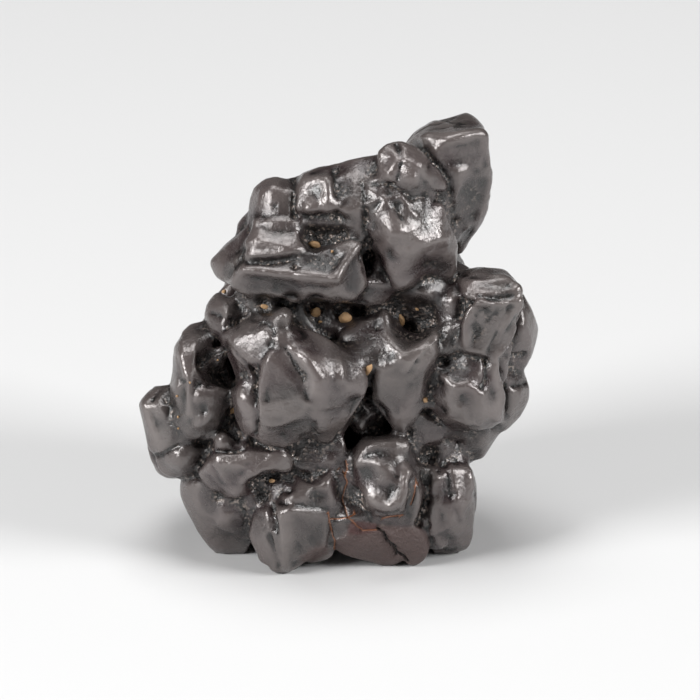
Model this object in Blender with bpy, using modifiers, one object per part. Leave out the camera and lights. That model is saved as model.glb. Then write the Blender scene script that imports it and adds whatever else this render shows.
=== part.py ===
"""A prophecy stone: a cluster of iron oxide crystals, worn by desert sand to rounded, faceted lumps.

Run it with: blender --background --python part.py

The cluster grew as one piece, so it is one solid. Each lump is the convex hull of a few corners, with a
small ball at each corner to wear its edges round. The lumps are joined, hollows are cut out, and the
skin is made even, because a worn stone has no sharp corner where two lumps meet.
The stone stands on flat feet on the ground, z = 0, and its front faces -Y.
"""

import math

import bmesh
import bpy
from mathutils import Matrix, Vector

MM = 0.001

# The stone is drawn as it is seen from the front and a little above. A corner is (right, up, back):
# right and up as that view shows them, and back along the ground, away from the viewer, all in mm.
VIEW_ELEVATION = math.radians(22.0)
GROUND_SEEN_UP = -0.92  # where that view shows the ground at back = 0, in mm
MIDDLE_RIGHT = 0.18  # the middle of the drawn stone, which becomes the origin, in mm
MIDDLE_BACK = 18.70

STONE_COLOUR = (0.055, 0.048, 0.046, 1.0)
STONE_ROUGHNESS = 0.38

FLAT_ANGLE = math.radians(7.0)  # facets of a lump that meet at less than this are one facet
ROOT_SHRINK = 0.72  # a lump narrows towards its root, inside the cluster
SKIN_GRID = 0.35  # the grid on which the skin is made even, in mm
WEAR_PASSES = 2
FACETS_KEPT = 0.0255  # of the even skin's small faces
GROUND_SIDE = 120.0  # of the block that is cut away below the ground, in mm
GROUND_DEPTH = 12.0

# The lumps of the front: name: (rounding, root, corners). The rounding is the radius of the worn edges in
# mm, and the root is how far back the lump reaches, inside the cluster.
FRONT_LUMPS = {
    "head": (0.9, 27, [
        (12.2, 62.2, 13), (15.2, 61.8, 11.5), (20.6, 62.6, 13), (21.3, 60, 14.5), (21.7, 55.6, 16),
        (21.2, 52, 17), (19.6, 48.8, 18), (17.3, 45.4, 18.5), (15.2, 50, 12), (16.5, 56, 10.5),
        (12.6, 57, 11), (9.3, 61.3, 20), (11, 63.3, 22), (13, 64.8, 24), (18.6, 65.8, 25),
        (20.3, 63.7, 24),
    ]),
    "shoulder_top": (0.7, 16, [
        (5.2, 56, 8), (5.4, 59.4, 9.5), (7, 61, 10.5), (8.7, 61.4, 11), (11.6, 60.4, 11),
        (14.1, 57.6, 11), (15.4, 54.8, 10), (12.8, 53.9, 6.4), (10, 54.2, 5.6), (6.8, 55.6, 6),
        (8.4, 58.6, 6.4), (11.4, 57.4, 6),
    ]),
    "shoulder": (0.9, 20, [
        (4.2, 51.8, 6), (6.5, 53.2, 5.6), (11, 53.4, 6.2), (14.6, 53, 8.4), (16, 48.7, 9),
        (16.9, 46, 10), (16.4, 43.3, 10), (15.3, 42.1, 9.6), (12.5, 41.6, 8.2), (8.6, 40.4, 6),
        (6.8, 42.5, 5), (5.2, 46, 5), (10.5, 47, 3), (15.2, 47.9, 6.6), (7, 49.5, 3.4), (9, 43.4, 3.6),
    ]),
    "crown_left": (0.8, 19, [
        (-12.5, 51, 12.4), (-11.8, 54.5, 13.4), (-10.5, 56.1, 14), (-8.5, 56.5, 14.2), (-6.5, 55.8, 13),
        (-6, 53.8, 8.6), (-6, 50.6, 6.6), (-8.8, 54.6, 8.8), (-11, 54, 9.6), (-11.5, 50.4, 8.2),
        (-8.8, 50.2, 6.4),
    ]),
    "crown_square": (0.6, 18, [
        (-5.5, 55.6, 11), (-4.6, 56.7, 12), (-2.3, 57.3, 13), (-0.7, 56.4, 12), (-0.6, 51.9, 5.6),
        (-4.8, 51.4, 5.8), (-5.6, 53, 7.5), (-1.2, 55.8, 7.2), (-4.8, 55.6, 7.8),
    ]),
    "crown_right": (0.6, 18, [
        (-0.8, 56.8, 13), (1.5, 57.6, 14), (4, 58.8, 14), (5.5, 59.2, 12.5), (5.2, 55, 7.4),
        (4.4, 52, 5.8), (3.4, 50.4, 5.2), (0.1, 51.3, 5.6), (-0.6, 55.8, 9), (3, 56.2, 8.4),
    ]),
    "shelf": (0.6, 15, [
        (-12.7, 46.6, 6.4), (-11.2, 49.9, 7.8), (-6, 50.2, 6.4), (-5, 47.5, 3.8), (-5, 45.4, 3.2),
        (-12.4, 45.1, 4.6), (-8.6, 48.6, 4), (-11.6, 47.9, 4.8),
    ]),
    "left_flank": (0.6, 18, [
        (-18.1, 44.1, 11.5), (-16.3, 45.5, 12.5), (-15.1, 46.2, 12.5), (-15, 47.7, 13),
        (-13.9, 48.8, 13), (-12, 49.8, 9.6), (-12.2, 45.2, 6), (-13.6, 43.4, 5), (-15, 41, 6.4),
        (-16.6, 42, 9),
    ]),
    "left_flank_bump": (0.4, 18, [
        (-14.4, 49.4, 14), (-13.9, 50.3, 14), (-12.6, 51.4, 13.4), (-12, 50.4, 11), (-12.8, 48.4, 11.5),
        (-14, 48.6, 13),
    ]),
    "beam": (0.7, 14, [
        (-15, 41, 5.4), (-13.4, 43.4, 3.2), (-5.5, 42.5, 1.2), (-0.1, 42.2, 0.6), (2.9, 46.9, 3.9),
        (-12.6, 45.2, 6), (0.8, 47, 6), (-13, 39.4, 4), (-7, 39.4, 2.2), (-1, 38.4, 1.6),
        (2.6, 38.5, 2.6), (4.2, 40.6, 3.4), (3.4, 44.4, 4),
    ]),
    "ear": (0.6, 17, [
        (-18.8, 37.4, 11.5), (-18.2, 38.8, 12), (-16.6, 40.1, 12), (-15.2, 39.5, 9.4), (-12.9, 37.4, 8),
        (-12.8, 36, 8), (-15, 34.8, 6.8), (-16.2, 33.5, 7), (-17.9, 33.7, 9), (-15.6, 37.8, 7),
        (-17.3, 37.2, 7.8),
    ]),
    "heart_plate": (0.5, 12, [
        (-16.5, 32.4, 6), (-16, 34.2, 6.2), (-14.8, 35.3, 5.6), (-10.5, 37.5, 3.6), (-9, 36.8, 1.4),
        (-15.1, 32.7, 2.2), (-14.8, 34.2, 2.6), (-9.4, 33.4, -0.6), (-10.2, 30.4, -0.8),
        (-13.2, 29.8, 1), (-14.7, 28.2, 3.8),
    ]),
    "heart_knob": (0.5, 9, [
        (-9.5, 36.2, 1.6), (-9.2, 37.6, 2), (-8, 38.4, 2.4), (-6.6, 37.8, 2), (-6.2, 36.2, 1.4),
        (-7.2, 35.2, -0.4), (-8.8, 35.4, -0.2), (-7.8, 36.9, -0.4),
    ]),
    "heart_button": (0.4, 8, [
        (-8.6, 34.2, -0.4), (-7.9, 35.2, -0.4), (-6.2, 35, -0.4), (-5.8, 33.8, -0.8),
        (-6.8, 32.8, -1.6), (-8.2, 33, -1.4),
    ]),
    "heart_face": (0.7, 14, [
        (-11, 25, -2.4), (-10.3, 30.8, -1.6), (-8, 33, -0.8), (-6.5, 31, -1.4), (-3.8, 25, -3),
        (-5, 22.7, -3.2), (-9.7, 21.5, -2.6), (-11.3, 22.4, -1.6), (-12, 20, 1.4), (-9.8, 18.5, 1.9),
        (-7.4, 18.2, 1.9), (-4.6, 19.6, 1.6), (-2.6, 20.6, 0.2),
    ]),
    "heart_right": (0.8, 14, [
        (-6.4, 32.6, -0.6), (-5, 34.8, 2.4), (-2.6, 33.2, 2), (0.2, 32.4, 1.2), (2.2, 32, 1.4),
        (3.5, 30.3, 0.8), (4.4, 27.6, 1.4), (3.8, 25.6, 0.6), (1.4, 22.4, 0.6), (0.1, 20.4, 1.6),
        (-2.6, 20.1, -0.2), (-3.8, 22.6, -2.8), (-3.4, 27, -3.6), (0.8, 27, -2.2), (-4.8, 30.4, -2.6),
    ]),
    "heart_chin": (0.5, 9, [
        (-3.7, 20.3, 1), (-3.2, 19, 2.4), (-1.6, 18.7, 2.6), (-0.4, 19.4, 2.4), (0.1, 20.8, 1.6),
        (-1.8, 20.6, 0.2),
    ]),
    "heart_cheek": (0.6, 11, [
        (-14.9, 26.5, 4.2), (-14.2, 28.2, 3.8), (-13, 27.8, 1.8), (-12, 25.5, 0), (-11.4, 22, -0.2),
        (-11.3, 20, 2.2), (-12.8, 20.1, 3), (-14.4, 22.6, 3.8), (-13.8, 26.2, 0.9), (-13.4, 22.8, 0.8),
    ]),
    "left_column": (0.7, 16, [
        (-23.4, 30.8, 9), (-23, 33, 10), (-21.7, 35.2, 11.5), (-19.4, 35.4, 11.5), (-20, 32.3, 5.2),
        (-22, 32.6, 6.8), (-23.3, 27.5, 7.4), (-22.8, 21, 6), (-22, 19.1, 6), (-19.4, 19.2, 5),
        (-20.2, 22, 3.2), (-20.5, 27, 3), (-22.3, 26, 4),
    ]),
    "left_column_foot": (0.6, 14, [
        (-19.9, 26, 3.2), (-17.5, 26.9, 3.4), (-15.5, 26.6, 5.2), (-15.4, 24.5, 5.2),
        (-17.5, 20.8, 4.8), (-19, 19.1, 5.4), (-20.5, 21.5, 3.2), (-18.2, 23.6, 2), (-19.9, 24, 2.4),
    ]),
    "left_column_top": (0.5, 18, [
        (-21.6, 35.3, 12.5), (-19.6, 35.5, 13), (-18.2, 36.3, 13.5), (-17.2, 35.4, 12), (-17.6, 33, 9),
        (-20, 32.3, 6), (-18.4, 31.4, 6.4), (-20.2, 30.8, 5),
    ]),
    "left_tablet": (0.7, 20, [
        (-28.1, 24.7, 10.5), (-27.1, 26.1, 11.8), (-26, 27, 12.6), (-23.4, 27.4, 11.6),
        (-22.6, 24.5, 8), (-25.2, 24.8, 7.4), (-27.6, 24.6, 8.8), (-22.6, 19.2, 6.2),
        (-24.6, 17.8, 6.6), (-26.2, 17.4, 9), (-27, 20.5, 9),
    ]),
    "left_tablet_foot": (0.8, 18, [
        (-26.3, 17.2, 9.4), (-25.4, 15.2, 9.9), (-24, 14.2, 10.2), (-20.6, 14.2, 9), (-19.2, 15.2, 8.2),
        (-18.8, 16.8, 7.2), (-20.6, 18.4, 5.6), (-22.6, 18.9, 5.8), (-24.6, 17.4, 6.4),
        (-22.2, 16.2, 4.8),
    ]),
    "left_tablet_back": (0.6, 22, [
        (-26.9, 19.4, 13), (-26.8, 17.2, 13.4), (-25.3, 14.5, 13.6), (-23.7, 13.5, 13.6),
        (-21.2, 13.7, 12.6), (-22, 20, 12),
    ]),
    "boot": (0.7, 13, [
        (-18.9, 16, 6), (-17.1, 17.4, 3.6), (-13, 18.3, 3.2), (-7.2, 17.9, 3.2), (-6.2, 16.5, 2.8),
        (-6.4, 15, 2.4), (-10, 15, 0.8), (-15, 15.5, 0.8), (-17.9, 15.6, 2),
    ]),
    "boot_sole": (0.5, 12, [
        (-17.8, 15.4, 2.2), (-9, 14.9, 1.3), (-8.6, 13.4, 2.6), (-10.5, 11.9, 4.2), (-13.6, 11.2, 3.8),
        (-14.8, 11.4, 3.6), (-15, 15.3, 1.1),
    ]),
    "boot_heel": (0.5, 13, [
        (-19.9, 14.7, 5.6), (-18.4, 15.7, 3.6), (-14.4, 11.2, 4), (-15.4, 10.9, 5.6),
        (-17.6, 12.1, 6.2),
    ]),
    "boot_knob": (0.5, 9, [
        (-17.6, 20, 5), (-16.2, 20.5, 5), (-15.3, 19.5, 4.6), (-15.3, 17.6, 4), (-17.5, 17.5, 4),
        (-16.6, 19.5, 3.1), (-16.4, 18, 2.9),
    ]),
    "boot_button": (0.4, 9, [
        (-15.1, 18.8, 4.8), (-13.2, 19.3, 4.8), (-12.6, 18.2, 3.9), (-14.8, 17.8, 3.4),
        (-13.8, 18.2, 3.2),
    ]),
    "boot_spur": (0.4, 12, [
        (-16, 21.4, 7), (-14.6, 22.4, 7), (-13.6, 20.2, 6), (-14.8, 19.4, 5.6),
    ]),
    "foot_left": (1, 14, [
        (-22.4, 13.6, 11.5), (-22.3, 11.4, 10.4), (-21.2, 8.2, 10), (-19, 4.6, 10.6), (-17.2, 2.8, 11),
        (-12.6, 2.8, 11), (-11.5, 5, 9), (-12.1, 9.2, 6.2), (-14.3, 11, 6.2), (-19.5, 13.6, 7.6),
        (-19.8, 9.5, 6.6), (-16.2, 8.2, 5.4), (-16.4, 5, 8),
    ]),
    "toe_rough": (0.5, 9, [
        (-12.8, 6, 4.2), (-12.1, 9.2, 3.8), (-9.8, 9.9, 2.8), (-9.3, 7, 1.4), (-9.2, 4.4, 1.2),
        (-10.4, 1.4, 3.2), (-11.5, 4.2, 4.4),
    ]),
    "toe": (0.7, 8, [
        (-8.5, 9.9, 2), (-7.9, 10, 0.8), (-8.7, 6, 0.4), (-9.5, 4, 1), (-9.5, 0.3, 3), (-7.8, 0.1, 2.8),
        (-6.2, 0.7, 3), (-5.1, 1.8, 2.8), (-1.5, 4.6, 2.6), (-1, 9, 2.4), (-4.6, 10, 1),
        (-6.9, 10, -0.1), (-6.8, 5, -0.6), (-4.8, 4.2, 0.3),
    ]),
    "toe_instep": (0.4, 9, [
        (-8.4, 10, 2), (-7.6, 12.2, 3.4), (-6.1, 13.8, 4.2), (-4.4, 12.8, 2.8), (-3.2, 12.2, 2.2),
        (-4.6, 9.9, 1), (-6.6, 11, 0.9),
    ]),
    "toe_arch": (0.5, 10, [
        (-5, 13.4, 4.2), (-3.2, 15.1, 5.2), (0.1, 15.3, 5.2), (0.9, 13.8, 4.6), (0.5, 10, 3.2),
        (-0.9, 9, 2.4), (-4.2, 9.6, 1.5), (-0.9, 13.3, 1.8), (-3.4, 12.5, 2),
    ]),
    "under_heart": (0.6, 12, [
        (-6.3, 18.4, 5), (-6, 14.8, 3.8), (-3.2, 14.6, 4.2), (-2.5, 17, 4.6), (-2.7, 19.6, 5.6),
        (-5, 19.8, 5.6),
    ]),
    "under_chin": (0.5, 12, [
        (-2.8, 19.4, 4.8), (1.1, 19.6, 4.8), (1.6, 17, 4.8), (1.2, 15.6, 4.8), (-2.5, 15.4, 4.4),
        (-0.8, 17.5, 3.6), (-1.6, 16, 3.6),
    ]),
    "block_top": (0.6, 12, [
        (2.3, 17.8, 5), (2.8, 19.4, 5.6), (5, 20.3, 6.8), (8.5, 19.8, 6.8), (9.3, 21.5, 5.6),
        (9.8, 18.8, 3.2), (9.4, 16, 2), (5, 18.7, 2.2), (9, 18.8, 2), (2.5, 15.6, 2.6), (5.5, 15.8, 1),
    ]),
    "block_middle": (0.5, 12, [
        (2.4, 15.6, 3.4), (6, 15.9, 0.8), (9.4, 15.6, 1.2), (9.7, 12, 0.8), (3.2, 12.2, 1.9),
        (1.8, 13.6, 4.2), (6, 13.8, -0.2), (8.4, 13, -0.2),
    ]),
    "block_lip": (0.5, 11, [
        (3.4, 12.3, 2.2), (4.1, 11.9, 0.8), (5.2, 9, 1), (8.4, 8.5, 0.2), (9.7, 9.4, 0.6),
        (9.9, 12.5, 0.6), (9.7, 15.6, 1.4), (6.5, 10, -0.8), (9, 10.4, -0.9), (4.4, 8.7, 2.2),
        (9.2, 13, -0.4),
    ]),
    "block_side": (0.5, 13, [
        (9.9, 20.2, 5.2), (10.7, 17.5, 4.4), (11, 14.2, 3), (11.9, 11, 3), (11.3, 8.6, 3),
        (10, 6.1, 3.4), (8.4, 6.5, 3), (9.8, 9, 1.4), (10, 14, 1.8), (10.6, 10.6, 1.2),
    ]),
    "block_base": (0.4, 12, [
        (4.5, 7.1, 3.2), (7, 6.8, 3), (9.8, 6.2, 3), (9.9, 9.2, 1.4), (6.2, 8.4, 1.8), (3.4, 9.6, 2.8),
        (2.2, 13, 5.2), (4.2, 11.4, 2.6),
    ]),
    "broken_left": (0.5, 11, [
        (-0.5, 4.2, 3.6), (0, 5.3, 2.6), (5.6, 6.6, 2.8), (9.3, 2.3, 4.6), (8.8, 1.5, 5.6),
        (6.8, 1.3, 5.8), (2, 2.9, 5.8), (0.2, 3.6, 5.2), (4, 4.4, 2.6),
    ]),
    "broken_right": (0.5, 11, [
        (6.2, 6.4, 2.8), (9.5, 6.4, 2.6), (11.8, 6.6, 3.2), (13.1, 4.8, 4), (12.7, 2.8, 4.8),
        (11.6, 1.5, 5.6), (10.6, 1.2, 5.6), (9.9, 2, 4.6), (9.8, 4, 2.4),
    ]),
    "broken_corner": (0.4, 11, [
        (-1, 8.4, 3.2), (0.4, 10.5, 3.6), (1.6, 11.2, 3.8), (3.5, 9.6, 3), (4.9, 7, 2.8), (2, 5, 2.4),
        (-0.6, 4.9, 2.8), (0.2, 7.6, 1.5), (2.6, 8.2, 1.7),
    ]),
    "broken_chip": (0.4, 9, [
        (-4.9, 2, 3.8), (-3.6, 3.8, 3), (-1.2, 4.9, 2.8), (-0.8, 3.4, 4.2), (-2.2, 1.8, 5.2),
        (-3.8, 1.5, 5.4),
    ]),
    "foot_right_rib": (0.6, 14, [
        (12, 14.5, 6.8), (13.3, 16.2, 7.8), (14.4, 14.8, 4.6), (14.5, 10, 3.4), (13.6, 5, 4.4),
        (13, 3, 9.4), (11.9, 8, 6.4), (15, 4, 5.2),
    ]),
    "foot_right": (0.9, 14, [
        (15.4, 15.4, 5.4), (18.5, 15.2, 6.6), (19.5, 14.5, 9.4), (19.6, 10.5, 9.4), (18.9, 5.5, 9.8),
        (18.1, 3.4, 10.6), (16.8, 2.8, 11), (12.8, 2.8, 11), (15.3, 11, 4.2), (17.6, 11, 3.8),
        (17, 6, 4.8), (18.8, 12.6, 5.8), (14.2, 5.6, 4.6),
    ]),
    "foot_right_top": (0.5, 17, [
        (14.4, 18.8, 9.4), (16.4, 19.4, 9.4), (18.5, 17, 9.6), (19.1, 15.4, 9.6), (15.1, 15.4, 6.2),
        (18.3, 15.2, 7.2),
    ]),
    "funnel_rim": (0.7, 15, [
        (0.6, 34.6, 6.4), (3, 36.5, 7.4), (6.8, 37.4, 7.4), (7.5, 34.6, 4.6), (8.6, 32.4, 3.2),
        (9.6, 31, 2.6), (5.3, 29.9, 2.2), (3.2, 31.8, 3.6), (1.2, 32.4, 5.2),
    ]),
    "funnel": (0.8, 15, [
        (5.2, 29.9, 2.2), (9.8, 31, 1.6), (14.3, 34.7, 3.2), (13.9, 30.5, 3.8), (12.7, 27, 3.8),
        (12.1, 23.8, 4.2), (9.9, 20.8, 4.6), (8.3, 20.6, 4.8), (6.7, 23.6, 4.2), (4.8, 25.6, 4.2),
        (4.9, 27.8, 3.4), (9.6, 27.5, 0.8), (8.7, 23.5, 2.6), (13.7, 33.4, 2.2),
    ]),
    "funnel_shelf": (0.4, 14, [
        (9.4, 34, 5.6), (12.6, 35.4, 6.6), (14.3, 34.9, 3.6), (10, 31.4, 3), (8.8, 32.6, 3.6),
        (13, 33.6, 3.4),
    ]),
    "brow": (0.6, 15, [
        (9.6, 40.4, 7), (11.6, 41.8, 8), (14.6, 41.8, 8.6), (15, 39.6, 7.8), (13.4, 38.4, 6.8),
        (10.4, 38.2, 6.6), (12, 39.8, 5.4),
    ]),
    "temple": (0.6, 16, [
        (14.4, 40.8, 9), (16.4, 41.6, 9.6), (17.6, 39.6, 6.4), (16.4, 36.4, 5.6), (14.6, 35.4, 6.4),
        (13.8, 38, 8), (15.9, 38.6, 5.8),
    ]),
    "right_cap": (0.7, 17, [
        (16.5, 42.1, 9.4), (18.2, 43.3, 11.4), (23.6, 43.2, 12.4), (25.1, 41.8, 10), (25.9, 40, 9),
        (24.3, 42.1, 6.6), (18.2, 41.8, 6), (17, 41, 6.4), (17.6, 39.6, 4.2), (21, 39.4, 3.2),
        (25.2, 39.6, 4.6),
    ]),
    "right_panel": (0.7, 17, [
        (18.2, 35, 3.8), (20.3, 39, 3.2), (25.2, 39.3, 4.6), (26, 38.8, 7.4), (24.7, 35.4, 7),
        (22.4, 31, 6.4), (21, 30.6, 3.8), (15.8, 31.8, 4.4), (15.8, 35, 5.2), (23.5, 36.4, 3.6),
        (19.5, 33, 2.4), (16.6, 33.5, 3.8), (22.4, 33, 3.8),
    ]),
    "right_jaw": (0.8, 17, [
        (14.8, 28.4, 3.2), (16.5, 26.8, 1.4), (18, 27.4, 1.6), (20.8, 26.2, 1.8), (20.5, 30.4, 3.4),
        (21.5, 30.4, 4), (22.3, 28.5, 6), (23, 25.4, 6), (23.1, 22, 6.6), (21.8, 20.4, 6.4),
        (20.2, 20.2, 5.4), (17.8, 20.7, 4), (16.2, 20.7, 4), (13.3, 23.6, 5.2), (12.8, 25.8, 5.2),
        (13.5, 28.6, 4.8), (17, 23.6, 1), (20.2, 23, 1.4), (15, 25.4, 2.2), (22, 23, 3.2),
    ]),
    "right_back": (1, 24, [
        (25.4, 40.6, 14), (27, 38.3, 14), (28.2, 35, 15), (27.5, 32.6, 14), (26.2, 29.4, 13),
        (22.2, 30.2, 9), (24.4, 35.6, 8.4), (25.8, 38.8, 9.4), (26.7, 34, 9.8),
    ]),
    "right_back_low": (0.9, 24, [
        (26.2, 29.6, 14), (26.9, 27, 14), (26.8, 25, 14), (25.8, 23, 13.5), (23.4, 20.4, 13),
        (22.6, 22, 8), (22.6, 25.4, 8), (22, 28.8, 8), (25.6, 26.4, 9.6),
    ]),
    "right_tail": (0.6, 18, [
        (23.6, 20.9, 12), (21.7, 18.4, 12), (20.5, 16.5, 12.4), (18.8, 16.2, 12.4), (17.4, 18, 9),
        (17.2, 21, 7), (21.4, 20.6, 7.6), (19.8, 18.4, 8.6),
    ]),
    "wedge": (0.5, 13, [
        (10.1, 21.9, 5.4), (11.8, 23.5, 5.2), (16.1, 20.8, 6), (14.7, 19, 6.2), (13.6, 18.2, 6.6),
        (11, 18.8, 6), (12.6, 21, 3.8),
    ]),
}

# The core, seen only at the bottom of the gaps between the front lumps.
CORE_LUMPS = {
    "core_crown": (1, 24, [
        (-13.5, 42, 7.6), (-11.5, 46, 8.4), (-11, 53.5, 12), (-3, 55.5, 12), (5, 57, 12), (13, 57, 12),
        (15.5, 52, 11), (15.5, 44, 11), (5, 42, 6.6), (-5, 42, 5.6), (-3, 48, 8), (5, 50, 7),
        (10, 50, 7),
    ]),
    "core_neck": (1, 27, [
        (-16, 36, 10), (-14, 42, 9), (14, 42, 11), (15, 35, 9), (0, 34, 7.6), (-13, 33, 8),
        (-10, 42, 8), (8, 42, 9),
    ]),
    "core_heart": (1, 28, [
        (-14, 20, 5.6), (-15, 30, 7), (-12, 34, 6.4), (0, 33, 6), (5, 28, 6), (1, 20, 5.6),
        (-10, 17.5, 4.6),
    ]),
    "core_left": (1, 28, [
        (-23, 30, 12), (-22, 20, 8.4), (-19, 17, 7), (-15, 18, 6.4), (-15, 27, 9), (-17, 34, 11.6),
        (-21, 34, 13),
    ]),
    "core_low_left": (1, 21, [
        (-21, 12, 12), (-18, 5, 12), (-8, 5, 5), (-3, 8, 3.6), (-3, 16, 5), (-12, 17, 5), (-19, 17, 7),
    ]),
    "core_low_middle": (1, 20, [
        (-4, 5, 4.4), (4, 4, 5.6), (12, 5, 5.6), (12, 17, 6), (2, 18.5, 5.6), (-4, 16, 4.6), (3, 12, 4),
        (9, 11, 3.4),
    ]),
    "core_low_right": (1, 21, [
        (11, 5, 6.6), (17, 5, 10), (18.5, 15, 8.4), (15, 20, 8), (10, 20, 6.4), (11, 12, 5),
    ]),
    "core_right": (1, 26, [
        (13, 22, 6.6), (21.5, 21.5, 8), (22.5, 30, 8), (25, 38, 10), (20, 42, 12), (14, 40, 11),
        (9, 36, 9), (8, 26, 6.4), (13, 30, 6),
    ]),
}

# The body of each group of lumps, just behind their faces, so that the lumps of a group stand out little.
BODY_LUMPS = {
    "body_crown": (0.8, 20, [
        (-12.5, 50.5, 9.5), (-11.5, 55, 14), (-8, 55.5, 13.5), (-5, 55.6, 11.5), (-1, 55.8, 11),
        (4, 57.5, 12.5), (7, 59.5, 11.5), (13, 58, 12), (15, 54, 11), (5, 53, 7.2), (-1, 52, 7),
        (-5.5, 52, 8), (-12, 46, 8), (-4, 46.5, 7.4), (1, 48, 7.4), (4.5, 50, 7),
    ]),
    "bridge_high": (0.6, 16, [
        (0, 47, 7), (5.5, 47.5, 5), (6.5, 51.5, 5), (4.5, 53.5, 6.5), (1, 51.5, 6.4), (3, 49, 5.4),
        (9, 53, 6.2), (8, 55, 7.4), (13, 54.4, 8),
    ]),
    "bridge_low": (0.6, 16, [
        (2, 38.6, 4.6), (3, 42, 5), (9, 41.5, 7), (8, 38.8, 7.6), (5, 39, 6), (14, 42, 9.6),
        (14, 40.4, 9.4),
    ]),
    "body_heart": (0.8, 16, [
        (-14, 23, 3), (-14.2, 27.5, 3.6), (-15.4, 32.5, 5), (-13, 35, 5), (-9, 37, 3.6),
        (-5.6, 35.4, 2.8), (-2.6, 32.6, 2.6), (2.2, 31.2, 2.2), (3.6, 27.6, 2.4), (1.4, 22.6, 2.2),
        (-1.5, 19.8, 3), (-7, 18.9, 3), (-11.6, 20.6, 2.8), (-9.5, 31, 0.2), (-4.5, 31, -0.6),
        (-11, 25.5, -0.6), (-4, 25, -1.6), (-2, 29, -1.6), (0.5, 27, -1.2),
    ]),
    "body_left": (0.7, 18, [
        (-22.8, 31, 9), (-22.6, 27, 7.5), (-22, 21, 6.4), (-20.8, 19.6, 6.2), (-17, 20.4, 6),
        (-16, 22, 6), (-16, 26, 6.6), (-18.6, 27, 5), (-20.2, 31.6, 6.6), (-20.6, 34.6, 12),
        (-19, 24, 3.6), (-21, 26, 4.4),
    ]),
    "body_tablet": (0.7, 20, [
        (-26.6, 24.4, 10), (-25.4, 26.6, 12), (-23, 26.6, 12), (-22.4, 20, 7.2), (-20.6, 17.6, 7),
        (-22, 15, 8.6), (-25.2, 15.6, 10.4), (-26.3, 19, 10), (-24.6, 20, 7.8),
    ]),
    "body_boot": (0.6, 14, [
        (-18, 16.2, 5), (-16.6, 19, 5), (-13, 19, 5), (-7, 17.6, 4), (-6.6, 15.4, 3.6), (-8.6, 14, 4),
        (-12, 12, 5), (-15, 11.6, 5), (-17.6, 13.4, 5), (-15.6, 15.6, 2.2), (-10, 15.6, 2.2),
    ]),
    "body_toe": (0.6, 12, [
        (-12, 6.5, 4.8), (-11.6, 9, 4.6), (-9, 10, 3.4), (-7.4, 13, 4.4), (-4.6, 13, 3.8),
        (-1.2, 13.4, 3.4), (0, 10, 3.8), (-1.4, 5, 3.4), (-3, 2.6, 4.6), (-6, 1.4, 3.8), (-9, 1, 4),
        (-10.4, 3, 4), (-7, 6, 0.8), (-3.4, 9, 2.2),
    ]),
    "body_block": (0.6, 14, [
        (2.6, 18.8, 6), (8.6, 19, 5), (10.6, 17, 5), (11.4, 11, 4.4), (10, 6.8, 4), (4.4, 7.2, 4),
        (2.4, 12, 4.6), (4, 17.6, 3.4), (9, 17.6, 3), (3.6, 13, 2.6), (9.4, 13, 1.8), (5, 9.6, 2),
        (9, 9, 1.8),
    ]),
    "body_broken": (0.5, 13, [
        (-1, 8.8, 3.8), (0.8, 10.4, 4.4), (0, 4.2, 4), (2, 3, 5.6), (9, 2, 5.6), (12, 3, 5.2),
        (12.2, 5.6, 4), (9.6, 6.2, 3.6), (4, 6.4, 3.2), (6, 4.6, 3.4), (10.8, 4.4, 3.4),
        (4.6, 8.6, 3.4),
    ]),
    "body_foot_right": (0.8, 14, [
        (12.2, 14.4, 7.4), (13.4, 15.6, 8.4), (18, 15.4, 8.4), (18.8, 12, 8), (18.4, 6, 8.8),
        (17, 3.6, 10.6), (13, 3.4, 10.4), (12.4, 8, 7), (14.8, 13, 5.6), (15, 6, 5.8), (17, 9, 5.4),
    ]),
    "body_funnel": (0.8, 16, [
        (1.4, 34.2, 7.2), (6.4, 36.4, 8), (8.6, 33, 5), (13.6, 34, 4.6), (13.2, 29, 5), (11.6, 24, 5.2),
        (9.4, 21.6, 5.6), (7.4, 23, 5.4), (5.4, 26, 5), (3.4, 31.6, 4.6), (8.4, 30.6, 3.2),
        (10, 27, 2.6),
    ]),
    "body_right": (0.8, 17, [
        (14.6, 28.6, 4.6), (16, 32, 5.6), (16.2, 36, 6.6), (17.6, 40.6, 7.4), (24.6, 41, 8),
        (25.4, 38.6, 7.6), (22, 30.8, 6.8), (22.4, 25.4, 7), (22.2, 21.6, 7.4), (17, 21.4, 5.4),
        (14, 24, 5.8), (19, 37, 4.6), (24, 37.4, 5), (18, 33.6, 3.8), (18, 25, 2.6), (20.6, 29, 4.6),
    ]),
    "body_right_back": (0.8, 24, [
        (25, 39.6, 13), (27, 35, 13.6), (25.4, 29.6, 13), (26, 26, 13), (23, 21, 12.4), (20, 18, 12.4),
        (18.6, 19.4, 9.6), (22, 26, 9), (23, 33, 9.6), (24.8, 38, 10.4),
    ]),
    "brace": (0.7, 20, [
        (12, 57, 11.6), (15.5, 54, 11), (18, 50, 16), (16.8, 47, 15), (15, 50, 11), (13, 60, 14),
    ]),
}

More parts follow.
